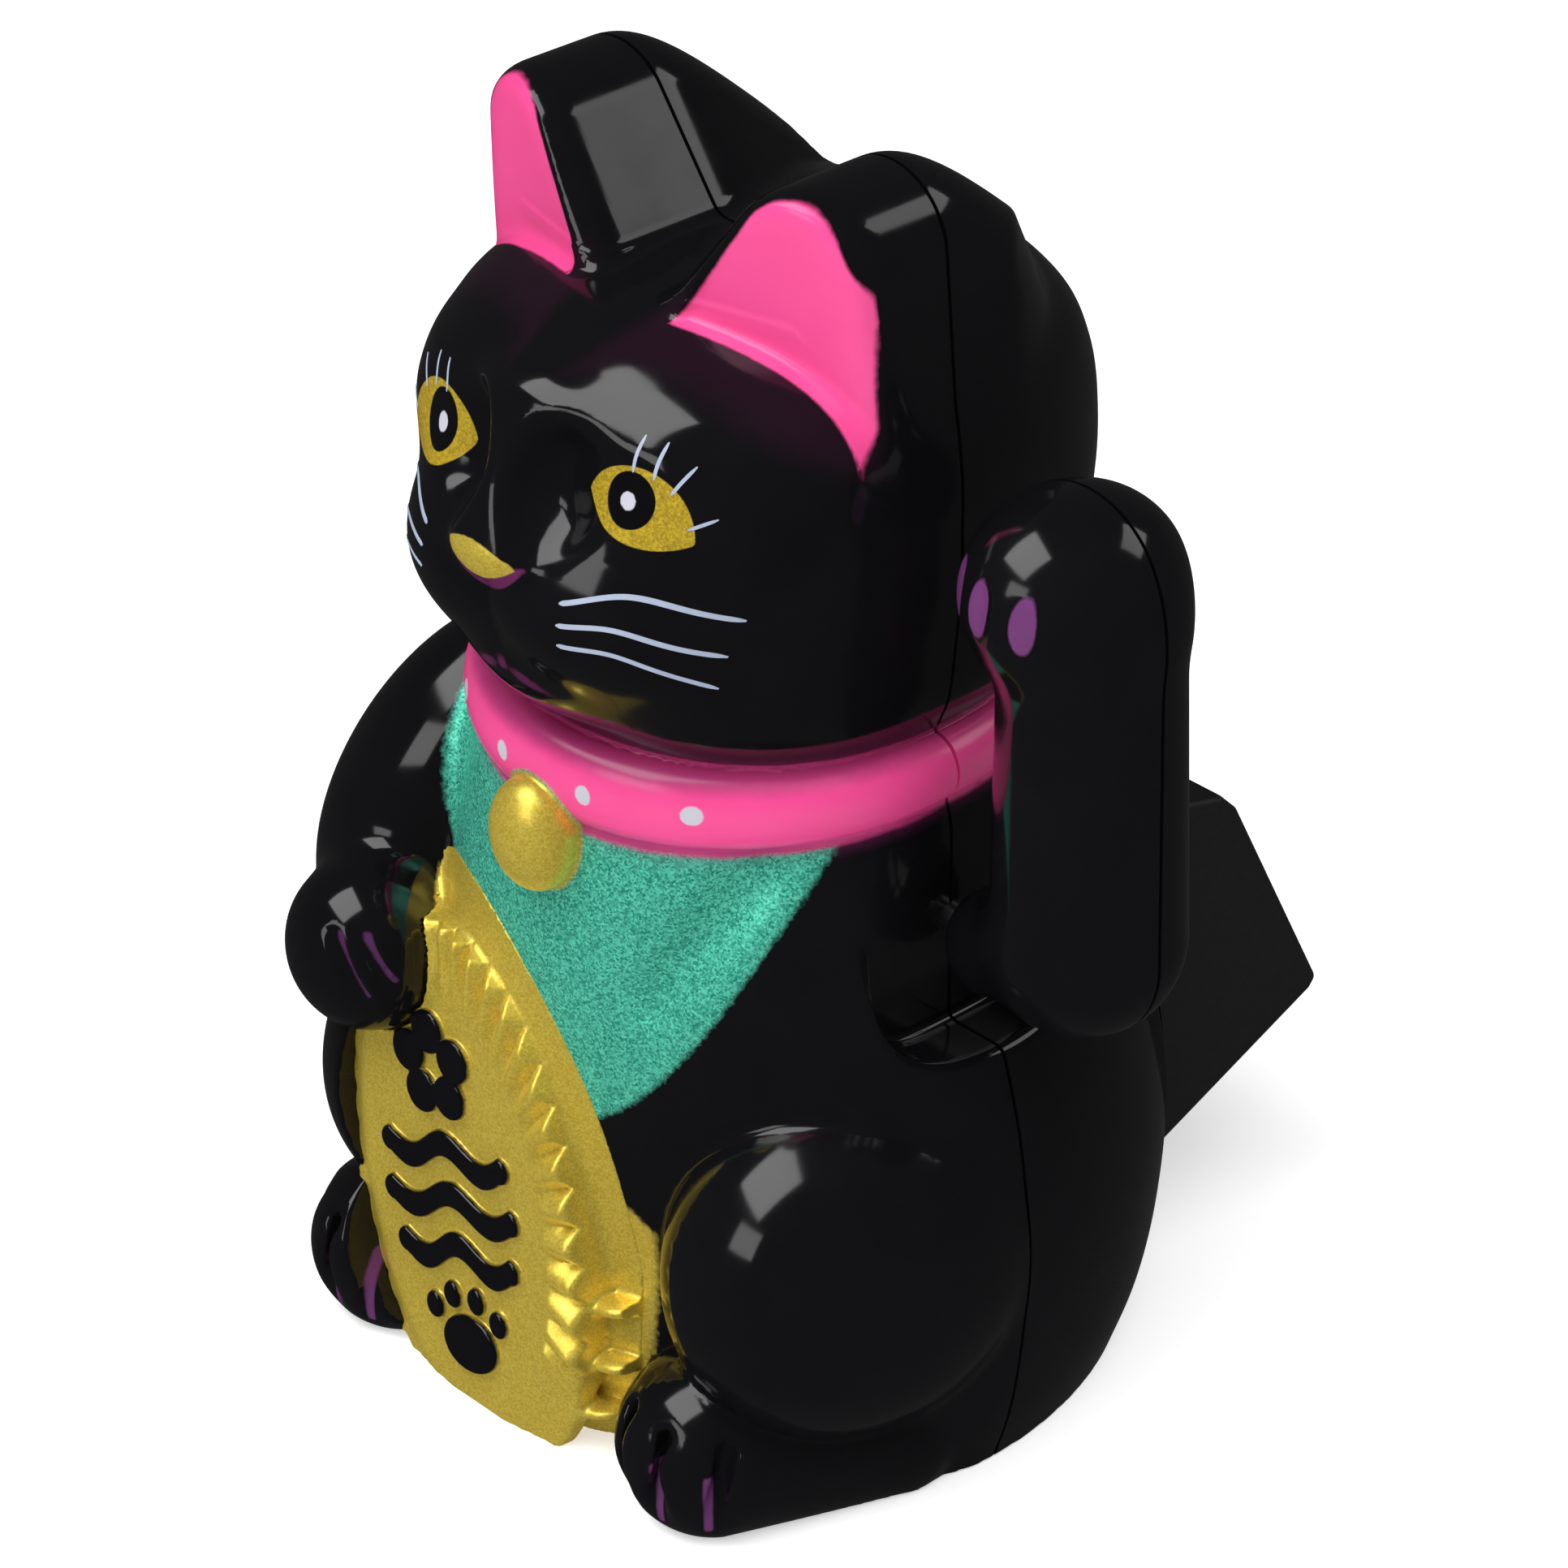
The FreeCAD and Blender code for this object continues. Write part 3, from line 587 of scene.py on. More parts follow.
def mesh_of(name, points, faces):
    """Object from points in millimetres."""
    mesh = bpy.data.meshes.new(name)
    mesh.vertices.add(len(points))
    mesh.vertices.foreach_set("co", (np.asarray(points) * 0.001).astype(F32).ravel())
    sizes = np.full(len(faces), faces.shape[1], np.int32)
    mesh.loops.add(int(sizes.sum()))
    mesh.loops.foreach_set("vertex_index", faces.astype(np.int32).ravel())
    mesh.polygons.add(len(faces))
    mesh.polygons.foreach_set("loop_start", np.concatenate([[0], np.cumsum(sizes)[:-1]]).astype(np.int32))
    mesh.update(calc_edges=True)
    obj = bpy.data.objects.new(name, mesh)
    bpy.context.scene.collection.objects.link(obj)
    return obj


def points_of(obj):
    """The object's vertices in millimetres."""
    p = np.empty(len(obj.data.vertices) * 3, F32)
    obj.data.vertices.foreach_get("co", p)
    return p.reshape(-1, 3) * 1000


def turn_in(bm, rim, wall):
    """Faces from each rim edge inwards along the parting plane, so that a shell shows its thickness."""
    inward = {}
    for e in rim:
        face = e.link_faces[0]
        for v in e.verts:
            n = Vector((face.normal.x, 0, face.normal.z))
            inward[v] = inward.get(v, Vector()) + n
    made = {}
    for v, n in inward.items():
        n = n.normalized() if n.length > 1e-9 else Vector((0, 0, 1))
        made[v] = (bm.verts.new(v.co), bm.verts.new(v.co - n * wall * 0.001))
    for e in rim:
        a, b = e.link_loops[0].vert, e.link_loops[0].link_loop_next.vert
        bm.faces.new((made[b][0], made[a][0], made[a][1], made[b][1]))


def half(name, points, faces, side):
    """One shell: the part on one side of the parting plane."""
    y = points[:, 1] * side
    keep = (y[faces] > 0).any(1)
    used = np.unique(faces[keep])
    fresh = np.full(len(points), -1)
    fresh[used] = np.arange(len(used))
    obj = mesh_of(name, points[used], fresh[faces[keep]])
    bm = bmesh.new()
    bm.from_mesh(obj.data)
    plane = side * GAP * 0.001
    whole = bm.verts[:] + bm.edges[:] + bm.faces[:]
    bmesh.ops.bisect_plane(bm, geom=whole, dist=1e-7, plane_co=(0, plane, 0), plane_no=(0, -side, 0),
                           clear_outer=True, clear_inner=False)
    bmesh.ops.dissolve_degenerate(bm, dist=1e-6, edges=bm.edges[:])
    bm.verts.ensure_lookup_table()
    rim = [e for e in bm.edges if e.is_boundary and all(abs(v.co.y - plane) < 1e-5 for v in e.verts)]
    turn_in(bm, rim, SHELL_LIP)
    bm.to_mesh(obj.data)
    bm.free()
    return obj


def shade(obj, fn, e=0.1):
    """Smooth shading with the form's own normals; rim faces keep their flat ones."""
    p = points_of(obj)
    g = unit_rows(slope(fn, p, e))
    own = np.empty(len(p) * 3, F32)
    obj.data.vertices.foreach_get("normal", own)
    own = own.reshape(-1, 3)
    g = np.where((g * own).sum(1)[:, None] > 0.3, g, own)
    obj.data.shade_smooth()
    obj.data.normals_split_custom_set_from_vertices([tuple(v) for v in g.tolist()])


def mark(obj, name, values):
    """Distance to a painted area, kept on the mesh for its material."""
    layer = obj.data.attributes.new(name, "FLOAT", "POINT")
    layer.data.foreach_set("value", np.asarray(values, F32).ravel())


# ------------------------------------------------------------------ painted areas
# Distances in millimetres, for most of them as seen from the front; each takes rows of points.
NOSE_BACK, EYE_BACK, PAW_BACK = -26.0, -15.0, -26.0      # the paint lies in front of these planes
NOSE_TIP_Z = 96.3
BIB_HALF, BIB_TOP, BIB_LONG, BIB_POWER = 23.5, 72.0, 37.2, 1.7
UPPER_LID, UPPER_R = (13.0, 101.6), 5.6
LOWER_LID, LOWER_R = (14.5, 108.3), 8.1
SPRAY = ((-26, 50), (-12, 51.5), (6, 29.5), (12, 26), (13, -2), (-26, -2))
FINGER_PADS, PAD_Z = (36.7, 40.6, 45.4), 99.3


def in_front(flat, p, back):
    """Part of an area that lies before the plane y = back."""
    return np.maximum(flat, p[:, 1] - back)


def bib_area(p):
    """Lower half of a superellipse hung from the collar."""
    x, z = p[:, 0], p[:, 2]
    drop = np.clip(BIB_TOP - z, 0.0, None)
    edge = (np.abs(x / BIB_HALF) ** BIB_POWER + (drop / BIB_LONG) ** BIB_POWER) ** (1 / BIB_POWER)
    return np.maximum(in_front((edge - 1.0) * 26.0, p, -6.0), z - BIB_TOP - 0.5)


def ear_area(p):
    q = near_side(p)
    return np.maximum(ear_outline(q), np.abs(ear_plane(q)) - 1.6)


def ear_shade(p):
    """Faint plum band on the forehead along the lower edge of each ear panel: partly overspray, partly
    painted shade where the ear meets the head.
    """
    q = near_side(p)
    lip = 115.6 - 0.028 * (q[:, 0] - 9.0) ** 2
    d = np.maximum(lip - 2.2 - q[:, 2], q[:, 2] - lip - 2.5)
    return np.maximum(np.maximum(ear_outline(q) - 1.6, d), -0.3 - ear_plane(q))


def collar_area(p):
    return np.maximum(collar(p) - 0.55, 0.5 - bell(p))


def collar_shade(p):
    """Darker plum along the collar's two edges: partly overspray, partly painted shade where the collar
    rounds away from the light.
    """
    middle = COLLAR_Z + COLLAR_LIFT * np.clip((p[:, 1] + 24) / 24, 0, 1)
    return np.maximum(2.9 - np.abs(p[:, 2] - middle), collar(p) - 0.9)


def bell_area(p):
    return bell(p) - 0.35


def dots(p):
    """Pale spots round the front of the collar."""
    q = near_side(p)
    inner = ellipsoid(q, (5.5, -26.5, 71.5), (0.85, 5.0, 1.0))
    return np.minimum(inner, ellipsoid(q, (15.5, -22.5, 72.0), (0.95, 5.0, 0.95)))


def nose_area(p):
    """Pointed lens on the tip of the nose."""
    x, z = p[:, 0], p[:, 2]
    return in_front(np.abs(z - NOSE_TIP_Z) + 0.09 * x * x - 1.8, p, NOSE_BACK)


def nose_under(p):
    """Darker lip below the nose."""
    x, z = p[:, 0], p[:, 2]
    return in_front(np.maximum(93.0 + 0.12 * x * x - z, z - 96.4), p, NOSE_BACK)


def eye_side(p):
    """Mirrored coordinates for the eyes; the far one is taller, a little lower and nearer the nose."""
    q = near_side(p)
    far = p[:, 0] < 0
    q[far] = q[far] * np.array((1.0, 1.0, 0.93), F32) + np.array((0.7, 0.0, 8.4), F32)
    return q


def from_point(q, at):
    """Distance from a point, seen from the front."""
    return np.hypot(q[:, 0] - at[0], q[:, 2] - at[1])


def iris_area(p):
    """Almond where two round lids overlap."""
    q = eye_side(p)
    almond = np.maximum(from_point(q, UPPER_LID) - UPPER_R, from_point(q, LOWER_LID) - LOWER_R)
    return in_front(almond, q, EYE_BACK)


def pupil_area(p):
    q = eye_side(p)
    return in_front(np.hypot((q[:, 0] - 12.65) / 0.92, q[:, 2] - 104.15) - 2.6, q, EYE_BACK)


def glint_area(p):
    q = eye_side(p)
    return in_front(np.hypot((q[:, 0] - 12.4) / 0.9, q[:, 2] - 104.0) - 0.85, q, EYE_BACK)


def mouth_area(p):
    """Line under the muzzle."""
    side = capsule(near_side(p), (0.6, -31, 84.2), (6.4, -27, 82.6), 0.6, 0.5)
    return np.minimum(side, capsule(p, (0, -32.5, 86.6), (0, -30.0, 84.4), 0.7, 0.5))


def gold_area(p):
    """Coin gold sprayed over the belly as far as the leg and the paw."""
    flat = polygon(p[:, 0], p[:, 2], SPRAY)
    legs = np.minimum(np.minimum(foot(paired(p)), thigh(near_side(p))), far_paw(p))
    return np.maximum(in_front(flat, p, -12.0), (0.3 - legs) * 6.0)


def foot_lines(p):
    """Thin upright strokes between the toes, running out from the ball of the foot."""
    q = paired(p)
    across, along, z = q[:, 0] - FOOT_AT[0], q[:, 1] - FOOT_AT[1], q[:, 2]
    d = np.full(len(p), 50.0)
    for x, y in TOES:
        u, v = unit((x - FOOT_AT[0], y - FOOT_AT[1]))
        stroke = np.maximum(np.abs(across * v - along * u) - 0.4, -across * u - along * v)
        d = np.minimum(d, np.maximum(stroke, np.abs(z - 5.8) - 3.6))
    return d


def paw_lines(p):
    """Two strokes along the grooves of the paw that holds the coin."""
    flat = p * np.array((1.0, 0.0, 1.0), F32)
    outer = capsule(flat, (-21, 0, 48), (-18, 0, 42), 0.32, 0.2)
    inner = capsule(flat, (-19, 0, 48), (-16.5, 0, 43.5), 0.32, 0.2)
    return in_front(np.minimum(outer, inner), p, PAW_BACK)


def pads(p):
    """Sprayed pads between the fingers of the raised paw."""
    x, z = p[:, 0], p[:, 2]
    d = np.full(len(p), 50.0)
    for at in FINGER_PADS:
        d = np.minimum(d, (np.hypot((x - at) / 1.15, (z - PAD_Z) / 2.7) - 1) * 1.3)
    return in_front(d, p, -6.0)


def motif_area(p):
    q = coin_place(p)
    return np.maximum(motif(q[:, 0], q[:, 2]) - 0.05, q[:, 1] + 2.35)


# ------------------------------------------------------------------ brush lines
ACROSS = (-1.0, -0.5, 0.0, 0.5, 1.0)            # rows across a brush line, and each one's height
CROWN = (0.03, 0.07, 0.09, 0.07, 0.03)
DRAPE_FROM_Y = -37.0                            # lines start here, before the face, and move back onto it
WHISKERS = (
    ((9, 94.5), (14.5, 96), (21, 93.5)),
    ((9, 92.5), (14, 93), (20, 90)),
    ((9, 90.5), (14, 90.5), (19, 86.5)),
)


def lash(start, way, length):
    """Short line out of the upper lid, from the first angle round it and in the second (degrees)."""
    a, b = math.radians(start), math.radians(way)
    x, z = UPPER_LID[0] + 5.1 * math.cos(a), UPPER_LID[1] + 5.1 * math.sin(a)
    return tuple((x + t * length * math.cos(b), z + t * length * math.sin(b)) for t in (0.0, 0.5, 1.0))


LASHES = (lash(95, 88, 3.1), lash(72, 88, 3.1), lash(50, 64, 2.8), lash(12, 30, 2.3))


def brush_line(way, width):
    """Rows of points along one line, laid on the face."""
    t = np.concatenate([[0], np.cumsum(np.hypot(*np.diff(way, axis=0).T))])
    u = np.linspace(0, t[-1], max(int(t[-1] / 0.35), 6))
    x, z = smooth_table(u, t, way[:, 0])[0], smooth_table(u, t, way[:, 1])[0]
    dx, dz = np.gradient(x), np.gradient(z)
    size = np.maximum(np.hypot(dx, dz), 1e-6)
    taper = np.clip(np.minimum(u / 0.4 + 0.4, (t[-1] - u) / 0.9 + 0.4), 0.0, 1.0) * width / 2
    front = np.full(len(u), DRAPE_FROM_Y)
    rows = [np.stack([x - dz / size * taper * k, front, z + dx / size * taper * k], 1) for k in ACROSS]
    p = np.stack(rows, 1).reshape(-1, 3).astype(F32)
    for _ in range(60):
        p[:, 1] += np.clip(cat(p) * 0.7, -0.5, 1.5)
    p += unit_rows(slope(cat, p)) * np.tile(CROWN, len(u))[:, None]
    return p


def drape(name, lines, width, low):
    """Thin brush lines on the face; each is (x, z) points seen from the front, mirrored to the
    far side, where it is moved by low."""
    points, faces, base = [], [], 0
    rows = len(ACROSS)
    for line in lines:
        for side in (1, -1):
            way = (np.array(line, float) + (low if side < 0 else (0.0, 0.0))) * (side, 1)
            p = brush_line(way, width)
            for i in range(len(p) // rows - 1):
                for k in range(rows - 1):
                    a = base + i * rows + k
                    quad = (a, a + rows, a + rows + 1, a + 1)
                    faces.append(quad if side > 0 else quad[::-1])
            points.append(p)
            base += len(p)
    obj = mesh_of(name, np.concatenate(points), np.array(faces))
    shade(obj, cat)
    return obj


# ------------------------------------------------------------------ procedural finishes
class Finish:
    """One material being put together from nodes."""

    def __init__(self, name):
        self.mat = bpy.data.materials.new(name)
        self.mat.use_nodes = True
        self.nodes, self.links = self.mat.node_tree.nodes, self.mat.node_tree.links
        self.shader = self.nodes["Principled BSDF"]
        self.place = self.nodes.new("ShaderNodeTexCoord").outputs["Object"]

    def give(self, socket, value):
        """A link where the value comes from a node, and else the value itself."""
        if isinstance(value, bpy.types.NodeSocket):
            self.links.new(value, socket)
        else:
            socket.default_value = value

    def set(self, **values):
        for key, value in values.items():
            self.give(self.shader.inputs[key.replace("_", " ")], value)

    def math(self, op, a, b=0.0, c=0.0):
        n = self.nodes.new("ShaderNodeMath")
        n.operation = op
        for socket, value in zip(n.inputs, (a, b, c)):
            self.give(socket, value)
        return n.outputs[0]

    def noise(self, scale, detail=2.0, rough=0.5):
        n = self.nodes.new("ShaderNodeTexNoise")
        self.give(n.inputs["Vector"], self.place)
        n.inputs["Scale"].default_value = scale
        n.inputs["Detail"].default_value = detail
        n.inputs["Roughness"].default_value = rough
        return n.outputs[0]

    def flakes(self, scale):
        """One random grey for each small cell, as metal flakes in paint have."""
        cells = self.nodes.new("ShaderNodeTexVoronoi")
        self.give(cells.inputs["Vector"], self.place)
        cells.inputs["Scale"].default_value = scale
        n = self.nodes.new("ShaderNodeSeparateColor")
        self.give(n.inputs[0], cells.outputs["Color"])
        return n.outputs[0]

    def ranged(self, value, a, b, c=0.0, d=1.0):
        """Smooth step from c at a to d at b."""
        n = self.nodes.new("ShaderNodeMapRange")
        n.interpolation_type = "SMOOTHSTEP"
        for socket, v in zip(n.inputs, (value, a, b, c, d)):
            self.give(socket, v)
        return n.outputs[0]

    def mix(self, fac, a, b):
        """Blend of two colours."""
        n = self.nodes.new("ShaderNodeMix")
        n.data_type = "RGBA"
        self.give(n.inputs[0], fac)
        self.give(n.inputs[6], a)
        self.give(n.inputs[7], b)
        return n.outputs[2]

    def blend(self, fac, a, b):
        """Blend of two numbers."""
        n = self.nodes.new("ShaderNodeMix")
        self.give(n.inputs[0], fac)
        self.give(n.inputs[2], a)
        self.give(n.inputs[3], b)
        return n.outputs[0]

    def area(self, name, soft, wobble, scale):
        """1 inside the painted area and 0 outside, with an edge this soft and uneven (mm)."""
        n = self.nodes.new("ShaderNodeAttribute")
        n.attribute_name = name
        d = n.outputs["Fac"]
        if wobble:
            uneven = self.math("SUBTRACT", self.noise(scale, 3.0, 0.6), 0.5)
            d = self.math("MULTIPLY_ADD", uneven, wobble, d)
        return self.ranged(d, -soft, soft, 1.0, 0.0)

    def bump(self, height, strength, distance):
        n = self.nodes.new("ShaderNodeBump")
        n.inputs["Strength"].default_value = strength
        n.inputs["Distance"].default_value = distance
        self.give(n.inputs["Height"], height)
        return n.outputs[0]


def rgb(r, g, b):
    return (r, g, b, 1.0)


BLACK, BLACK_HAZE, BLACK_ROUGH = rgb(0.0034, 0.0032, 0.0040), rgb(0.0054, 0.0051, 0.0060), 0.11
FLAKE_SCALE = 5200.0
# paint: (light tone, dark tone, metallic, roughness)
PAINTS = {
    "pink": (rgb(0.92, 0.085, 0.32), rgb(0.84, 0.065, 0.27), 0.0, 0.24),
    "plum": (rgb(0.15, 0.02, 0.10), rgb(0.09, 0.012, 0.06), 0.0, 0.2),
    "mauve": (rgb(0.17, 0.04, 0.17), rgb(0.12, 0.025, 0.13), 0.0, 0.3),
    "pale": (rgb(0.60, 0.58, 0.66), rgb(0.50, 0.50, 0.58), 0.0, 0.35),
    "gold": (rgb(1.0, 0.80, 0.13), rgb(0.82, 0.57, 0.06), 0.62, 0.36),
    "iris": (rgb(0.60, 0.42, 0.022), rgb(0.31, 0.21, 0.015), 0.2, 0.3),
    "teal": (rgb(0.17, 0.92, 0.66), rgb(0.01, 0.30, 0.21), 0.5, 0.38),
    "black": (rgb(0.004, 0.004, 0.005), rgb(0.002, 0.002, 0.003), 0.0, 0.12),
}


def painted(name, layers, base=None):
    """Gloss black moulding, or one of the paints all over, with layers of paint laid over it in order."""
    f = Finish(name)
    haze = f.noise(140.0, 3.0, 0.6)
    fine = f.flakes(FLAKE_SCALE)
    if base:
        light, dark, metal, matt = PAINTS[base]
        colour = f.mix(fine, light, dark)
    else:
        metal, matt = 0.0, BLACK_ROUGH
        colour = f.mix(haze, BLACK, BLACK_HAZE)
    rough = f.ranged(haze, 0.3, 0.7, matt - 0.025, matt + 0.02)
    for paint, area, soft, wobble, strength in layers:
        light, dark, shine, matt = PAINTS[paint]
        fac = f.area(area, soft, wobble, 1500.0 if paint in ("gold", "teal") else 500.0)
        if strength < 1.0:
            fac = f.math("MULTIPLY", fac, strength)
        tone = f.mix(fine if shine else f.noise(90.0), light, dark)
        colour = f.mix(fac, colour, tone)
        if metal != shine:
            metal = f.blend(fac, metal, shine)
        rough = f.blend(fac, rough, matt)
    f.set(Base_Color=colour, Metallic=metal, Roughness=rough)
    f.set(Normal=f.bump(f.noise(60.0), 0.03, 0.0004))
    return f.mat


def plain(name, light, dark, metal, rough, scale, strength=0.08, depth=0.0002, stretch=None, **more):
    """One material for a whole piece, with grain in colour, gloss and surface."""
    f = Finish(name)
    if stretch:
        m = f.nodes.new("ShaderNodeMapping")
        f.give(m.inputs["Vector"], f.place)
        m.inputs["Scale"].default_value = stretch
        f.place = m.outputs[0]
    grain = f.noise(scale, 4.0, 0.6)
    f.set(Base_Color=f.mix(grain, light, dark), Metallic=metal)
    f.set(Roughness=f.ranged(grain, 0.25, 0.75, *rough))
    f.set(Normal=f.bump(grain, strength, depth), **more)
    return f.mat


# ------------------------------------------------------------------ pieces
AREAS = {
    "bib": bib_area, "ear_pink": ear_area, "ear_shade": ear_shade, "collar": collar_area,
    "collar_shade": collar_shade, "dots": dots, "nose": nose_area, "nose_under": nose_under,
    "bell": bell_area, "iris": iris_area, "pupil": pupil_area, "glint": glint_area,
    "mouth": mouth_area, "spray": gold_area, "foot_lines": foot_lines, "paw_lines": paw_lines,
}
# (paint, area, softness of its edge in mm, unevenness in mm, strength), first to last
LAYERS = (
    # plum under the ears and along the collar's edges is partly overspray, partly painted shade
    ("plum", "ear_shade", 1.2, 1.0, 0.08),
    ("teal", "bib", 0.5, 0.9, 1.0),
    ("pink", "ear_pink", 0.2, 0.3, 1.0),
    ("gold", "spray", 0.7, 1.1, 1.0),
    ("pink", "collar", 0.25, 0.3, 1.0),
    # painted shade with overspray along the collar's edges
    ("plum", "collar_shade", 0.9, 0.5, 0.55),
    ("pale", "dots", 0.12, 0.2, 1.0),
    ("gold", "bell", 0.3, 0.4, 1.0),
    ("plum", "nose_under", 0.2, 0.2, 1.0),
    ("gold", "nose", 0.12, 0.2, 1.0),
    ("plum", "mouth", 0.3, 0.3, 0.7),
    ("iris", "iris", 0.06, 0.05, 1.0),
    ("black", "pupil", 0.06, 0.0, 1.0),
    ("pale", "glint", 0.08, 0.0, 1.0),
    ("mauve", "foot_lines", 0.15, 0.2, 0.8),
    ("mauve", "paw_lines", 0.15, 0.2, 0.5),
)
PAD_LAYERS = (("mauve", "pads", 0.12, 0.2, 1.0),)
COIN_LAYERS = (("black", "motif", 0.1, 0.15, 1.0),)
WHISKER_WIDTH, WHISKER_SHIFT = 0.48, (0.0, 0.7)        # mm; the shift is the far side's
LASH_WIDTH, LASH_SHIFT = 0.32, (-0.7, -1.2)


def dress(obj, material):
    obj.data.materials.clear()
    obj.data.materials.append(material)


def add(obj, body, material, node=None):
    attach(obj, body)
    if node:
        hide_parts(node)
    dress(obj, material)


def shells(fn, low, high, body, halves, areas, material):
    """Front and rear halves of one hollow moulding, with its painted areas."""
    points, quads = surface(fn, low, high, FINE)
    for name, node, side in halves:
        shell = half(name, points, quads, side)
        shade(shell, fn)
        where = points_of(shell)
        for area, distance in areas.items():
            mark(shell, area, in_parts(distance, where))
        add(shell, body, material, node)


body_paint = painted("painted_black_body", LAYERS)
arm_paint = painted("painted_black_arm", PAD_LAYERS)
body_halves = (("body_front", "front_shell", -1), ("body_rear", "rear_shell", 1))
arm_halves = (("arm_front", "arm_front_shell", -1), ("arm_rear", "arm_rear_shell", 1))
shells(cat, (-42, -40, -0.6), (42, 46, 133), "body", body_halves, AREAS, body_paint)
shells(arm, (24, -14, 50), (56, 14, 110), "arm", arm_halves, {"pads": pads}, arm_paint)

coin_points, coin_quads = surface(coin_skin, (-34, -42, -0.5), (14, -8, 56), COIN_FINE)
coin = mesh_of("coin", coin_points, coin_quads)
shade(coin, coin_skin)
mark(coin, "motif", in_parts(motif_area, points_of(coin)))
add(coin, "body", painted("painted_gold_coin", COIN_LAYERS, "gold"))

white = plain("white_line", rgb(0.42, 0.48, 0.62), rgb(0.34, 0.39, 0.52), 0.0, (0.3, 0.42), 900.0, 0.05,
              0.0001)
add(drape("whisker_lines", WHISKERS, WHISKER_WIDTH, WHISKER_SHIFT), "body", white)
add(drape("lash_lines", LASHES, LASH_WIDTH, LASH_SHIFT), "body", white)


# ------------------------------------------------------------------ inner parts and the rear box
def cell_look():
    """Dark blue cell with thin silver lines running across it."""
    f = Finish("solar_silicon")
    lines = f.nodes.new("ShaderNodeTexWave")
    f.give(lines.inputs["Vector"], f.place)
    lines.inputs["Scale"].default_value = 75.0
    lines.inputs["Distortion"].default_value = 0.0
    grain = f.noise(260.0, 3.0, 0.6)
    fac = f.ranged(lines.outputs["Fac"], 0.955, 0.985)
    dark = f.mix(grain, rgb(0.022, 0.032, 0.10), rgb(0.012, 0.018, 0.06))
    f.set(Base_Color=f.mix(fac, dark, rgb(0.55, 0.56, 0.60)), Metallic=0.2)
    f.set(Roughness=f.ranged(grain, 0.3, 0.7, 0.15, 0.3), Normal=f.bump(grain, 0.05, 0.0001))
    return f.mat


# name: (light tone, dark tone, metallic, roughness range, grain scale, then bump and stretch)
PLAIN_LOOKS = {
    "satin_black": (rgb(0.011, 0.011, 0.012), rgb(0.008, 0.008, 0.009), 0.0, (0.42, 0.5), 900.0),
    "inner_plastic": (rgb(0.58, 0.57, 0.53), rgb(0.46, 0.45, 0.42), 0.0, (0.4, 0.55), 300.0),
    "steel": (rgb(0.62, 0.61, 0.59), rgb(0.5, 0.5, 0.5), 1.0, (0.2, 0.34), 600.0, 0.05, 0.0001,
              (0.1, 1.0, 1.0)),
    "zinc_screw": (rgb(0.66, 0.67, 0.70), rgb(0.48, 0.50, 0.54), 1.0, (0.25, 0.4), 900.0),
    "nickel_magnet": (rgb(0.70, 0.68, 0.62), rgb(0.6, 0.58, 0.54), 1.0, (0.08, 0.16), 300.0),
    "copper_enamel": (rgb(0.55, 0.16, 0.05), rgb(0.30, 0.07, 0.02), 0.8, (0.2, 0.35), 1200.0, 0.3, 0.0003,
                      (0.2, 0.2, 6.0)),
    "board_green": (rgb(0.02, 0.16, 0.05), rgb(0.012, 0.10, 0.03), 0.0, (0.25, 0.4), 500.0),
    "capacitor_can": (rgb(0.03, 0.05, 0.16), rgb(0.02, 0.03, 0.10), 0.0, (0.25, 0.35), 400.0),
    "chip_black": (rgb(0.02, 0.02, 0.021), rgb(0.012, 0.012, 0.013), 0.0, (0.5, 0.65), 2000.0),
    "resistor_body": (rgb(0.58, 0.44, 0.28), rgb(0.46, 0.34, 0.20), 0.0, (0.35, 0.5), 800.0),
    "wire_red": (rgb(0.55, 0.02, 0.015), rgb(0.40, 0.012, 0.01), 0.0, (0.35, 0.5), 700.0),
    "wire_black": (rgb(0.012, 0.012, 0.012), rgb(0.02, 0.02, 0.02), 0.0, (0.4, 0.55), 700.0),
}
slot_looks = {name: plain(name, *look) for name, look in PLAIN_LOOKS.items()}
slot_looks["matte_black"] = slot_looks["satin_black"]
slot_looks["solar_silicon"] = cell_look()
slot_looks["clear_pane"] = plain("clear_pane", rgb(0.92, 0.94, 0.95), rgb(0.86, 0.9, 0.92), 0.0, (0.02, 0.06),
                                 300.0, 0.02, 0.0001, Transmission_Weight=1.0, IOR=1.49)
replaced = [node for _, node, _ in body_halves + arm_halves]
slot_of = {row["node"]: row["material_slot"] for row in frame["record"]["subparts"]}
for node, obj in frame["nodes"].items():
    if node not in replaced:
        dress(obj, slot_looks[slot_of[node]])

# ------------------------------------------------------------------ camera, light and floor
CAMERA_AT = (0.35123, -0.32244, 0.34282)                # metres
CAMERA_TURN, CAMERA_LIFT = math.radians(47.1), math.radians(30.685)
CAMERA_LENS = 136.03                                    # mm on a frame 36 mm wide
FLOOR_HALF, FLOOR_DROP = 4000.0, 0.05                   # mm
LAMP_TARGET = (0, 0, 0.07)

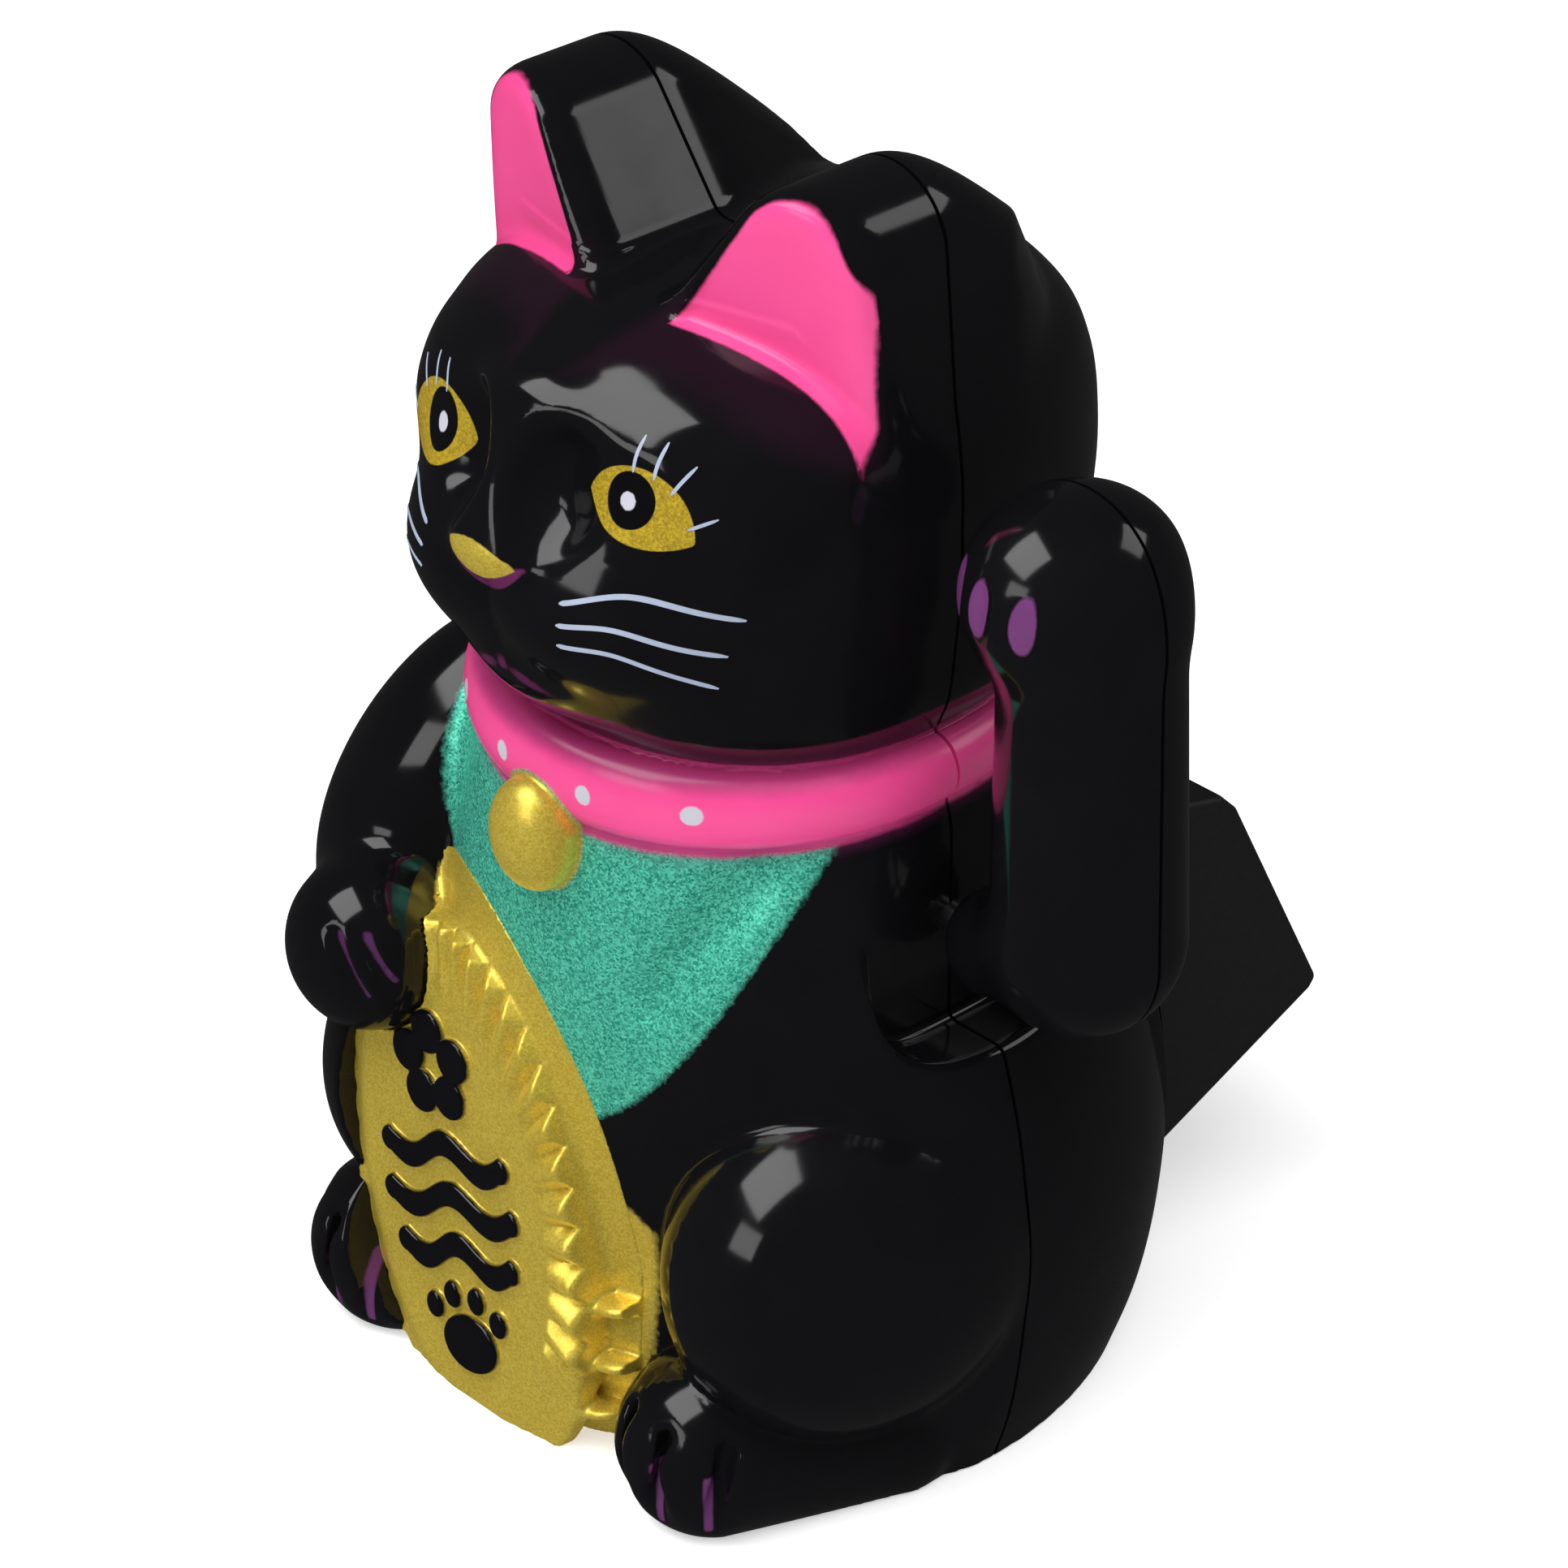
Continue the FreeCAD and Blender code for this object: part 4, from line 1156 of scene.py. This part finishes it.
camera = bpy.data.objects.new("camera", bpy.data.cameras.new("camera"))
camera.data.lens = CAMERA_LENS
camera.data.sensor_width = 36.0
level = math.cos(CAMERA_LIFT)
backwards = Vector((math.sin(CAMERA_TURN) * level, -math.cos(CAMERA_TURN) * level, math.sin(CAMERA_LIFT)))
camera.rotation_mode = "QUATERNION"
camera.rotation_quaternion = backwards.to_track_quat("Z", "Y")
camera.location = CAMERA_AT
bpy.context.scene.collection.objects.link(camera)
bpy.context.scene.camera = camera


def softbox(name, at, to, size, power):
    """Rectangular lamp aimed at a point; sizes in metres, power in watts."""
    light = bpy.data.objects.new(name, bpy.data.lights.new(name, "AREA"))
    light.data.shape = "RECTANGLE"
    light.data.size, light.data.size_y = size
    light.data.energy = power
    light.location = at
    light.rotation_mode = "QUATERNION"
    light.rotation_quaternion = (Vector(at) - Vector(to)).to_track_quat("Z", "Y")
    bpy.context.scene.collection.objects.link(light)
    return light


softbox("light_front", (-0.21, -0.44, 0.76), LAMP_TARGET, (0.60, 0.50), 3.6)
softbox("light_low", (-0.06, -0.74, 0.38), LAMP_TARGET, (0.34, 0.22), 0.6)
softbox("light_back", (0.37, 0.62, 0.62), LAMP_TARGET, (0.4, 0.3), 0.7)
fill = softbox("light_fill", (0.30, -0.25, 0.85), (0, 0, 0.06), (0.9, 0.7), 7.0)
fill.visible_glossy = False

floor_corners = np.array([(-1, -1, 0), (1, -1, 0), (1, 1, 0), (-1, 1, 0)]) * FLOOR_HALF - (0, 0, FLOOR_DROP)
floor = mesh_of("floor", floor_corners, np.array([(0, 1, 2, 3)]))
dress(floor, plain("floor_paper", rgb(0.93, 0.93, 0.93), rgb(0.90, 0.90, 0.90), 0.0, (0.6, 0.7), 6.0, 0.01,
                   Emission_Color=rgb(1.0, 1.0, 1.0), Emission_Strength=0.55))
floor.visible_glossy = False

world = bpy.data.worlds.new("studio")
world.use_nodes = True
background = world.node_tree.nodes["Background"]
background.inputs["Color"].default_value = rgb(1.0, 1.0, 1.0)
background.inputs["Strength"].default_value = 0.035
bpy.context.scene.world = world
bpy.context.scene.view_settings.view_transform = "Standard"
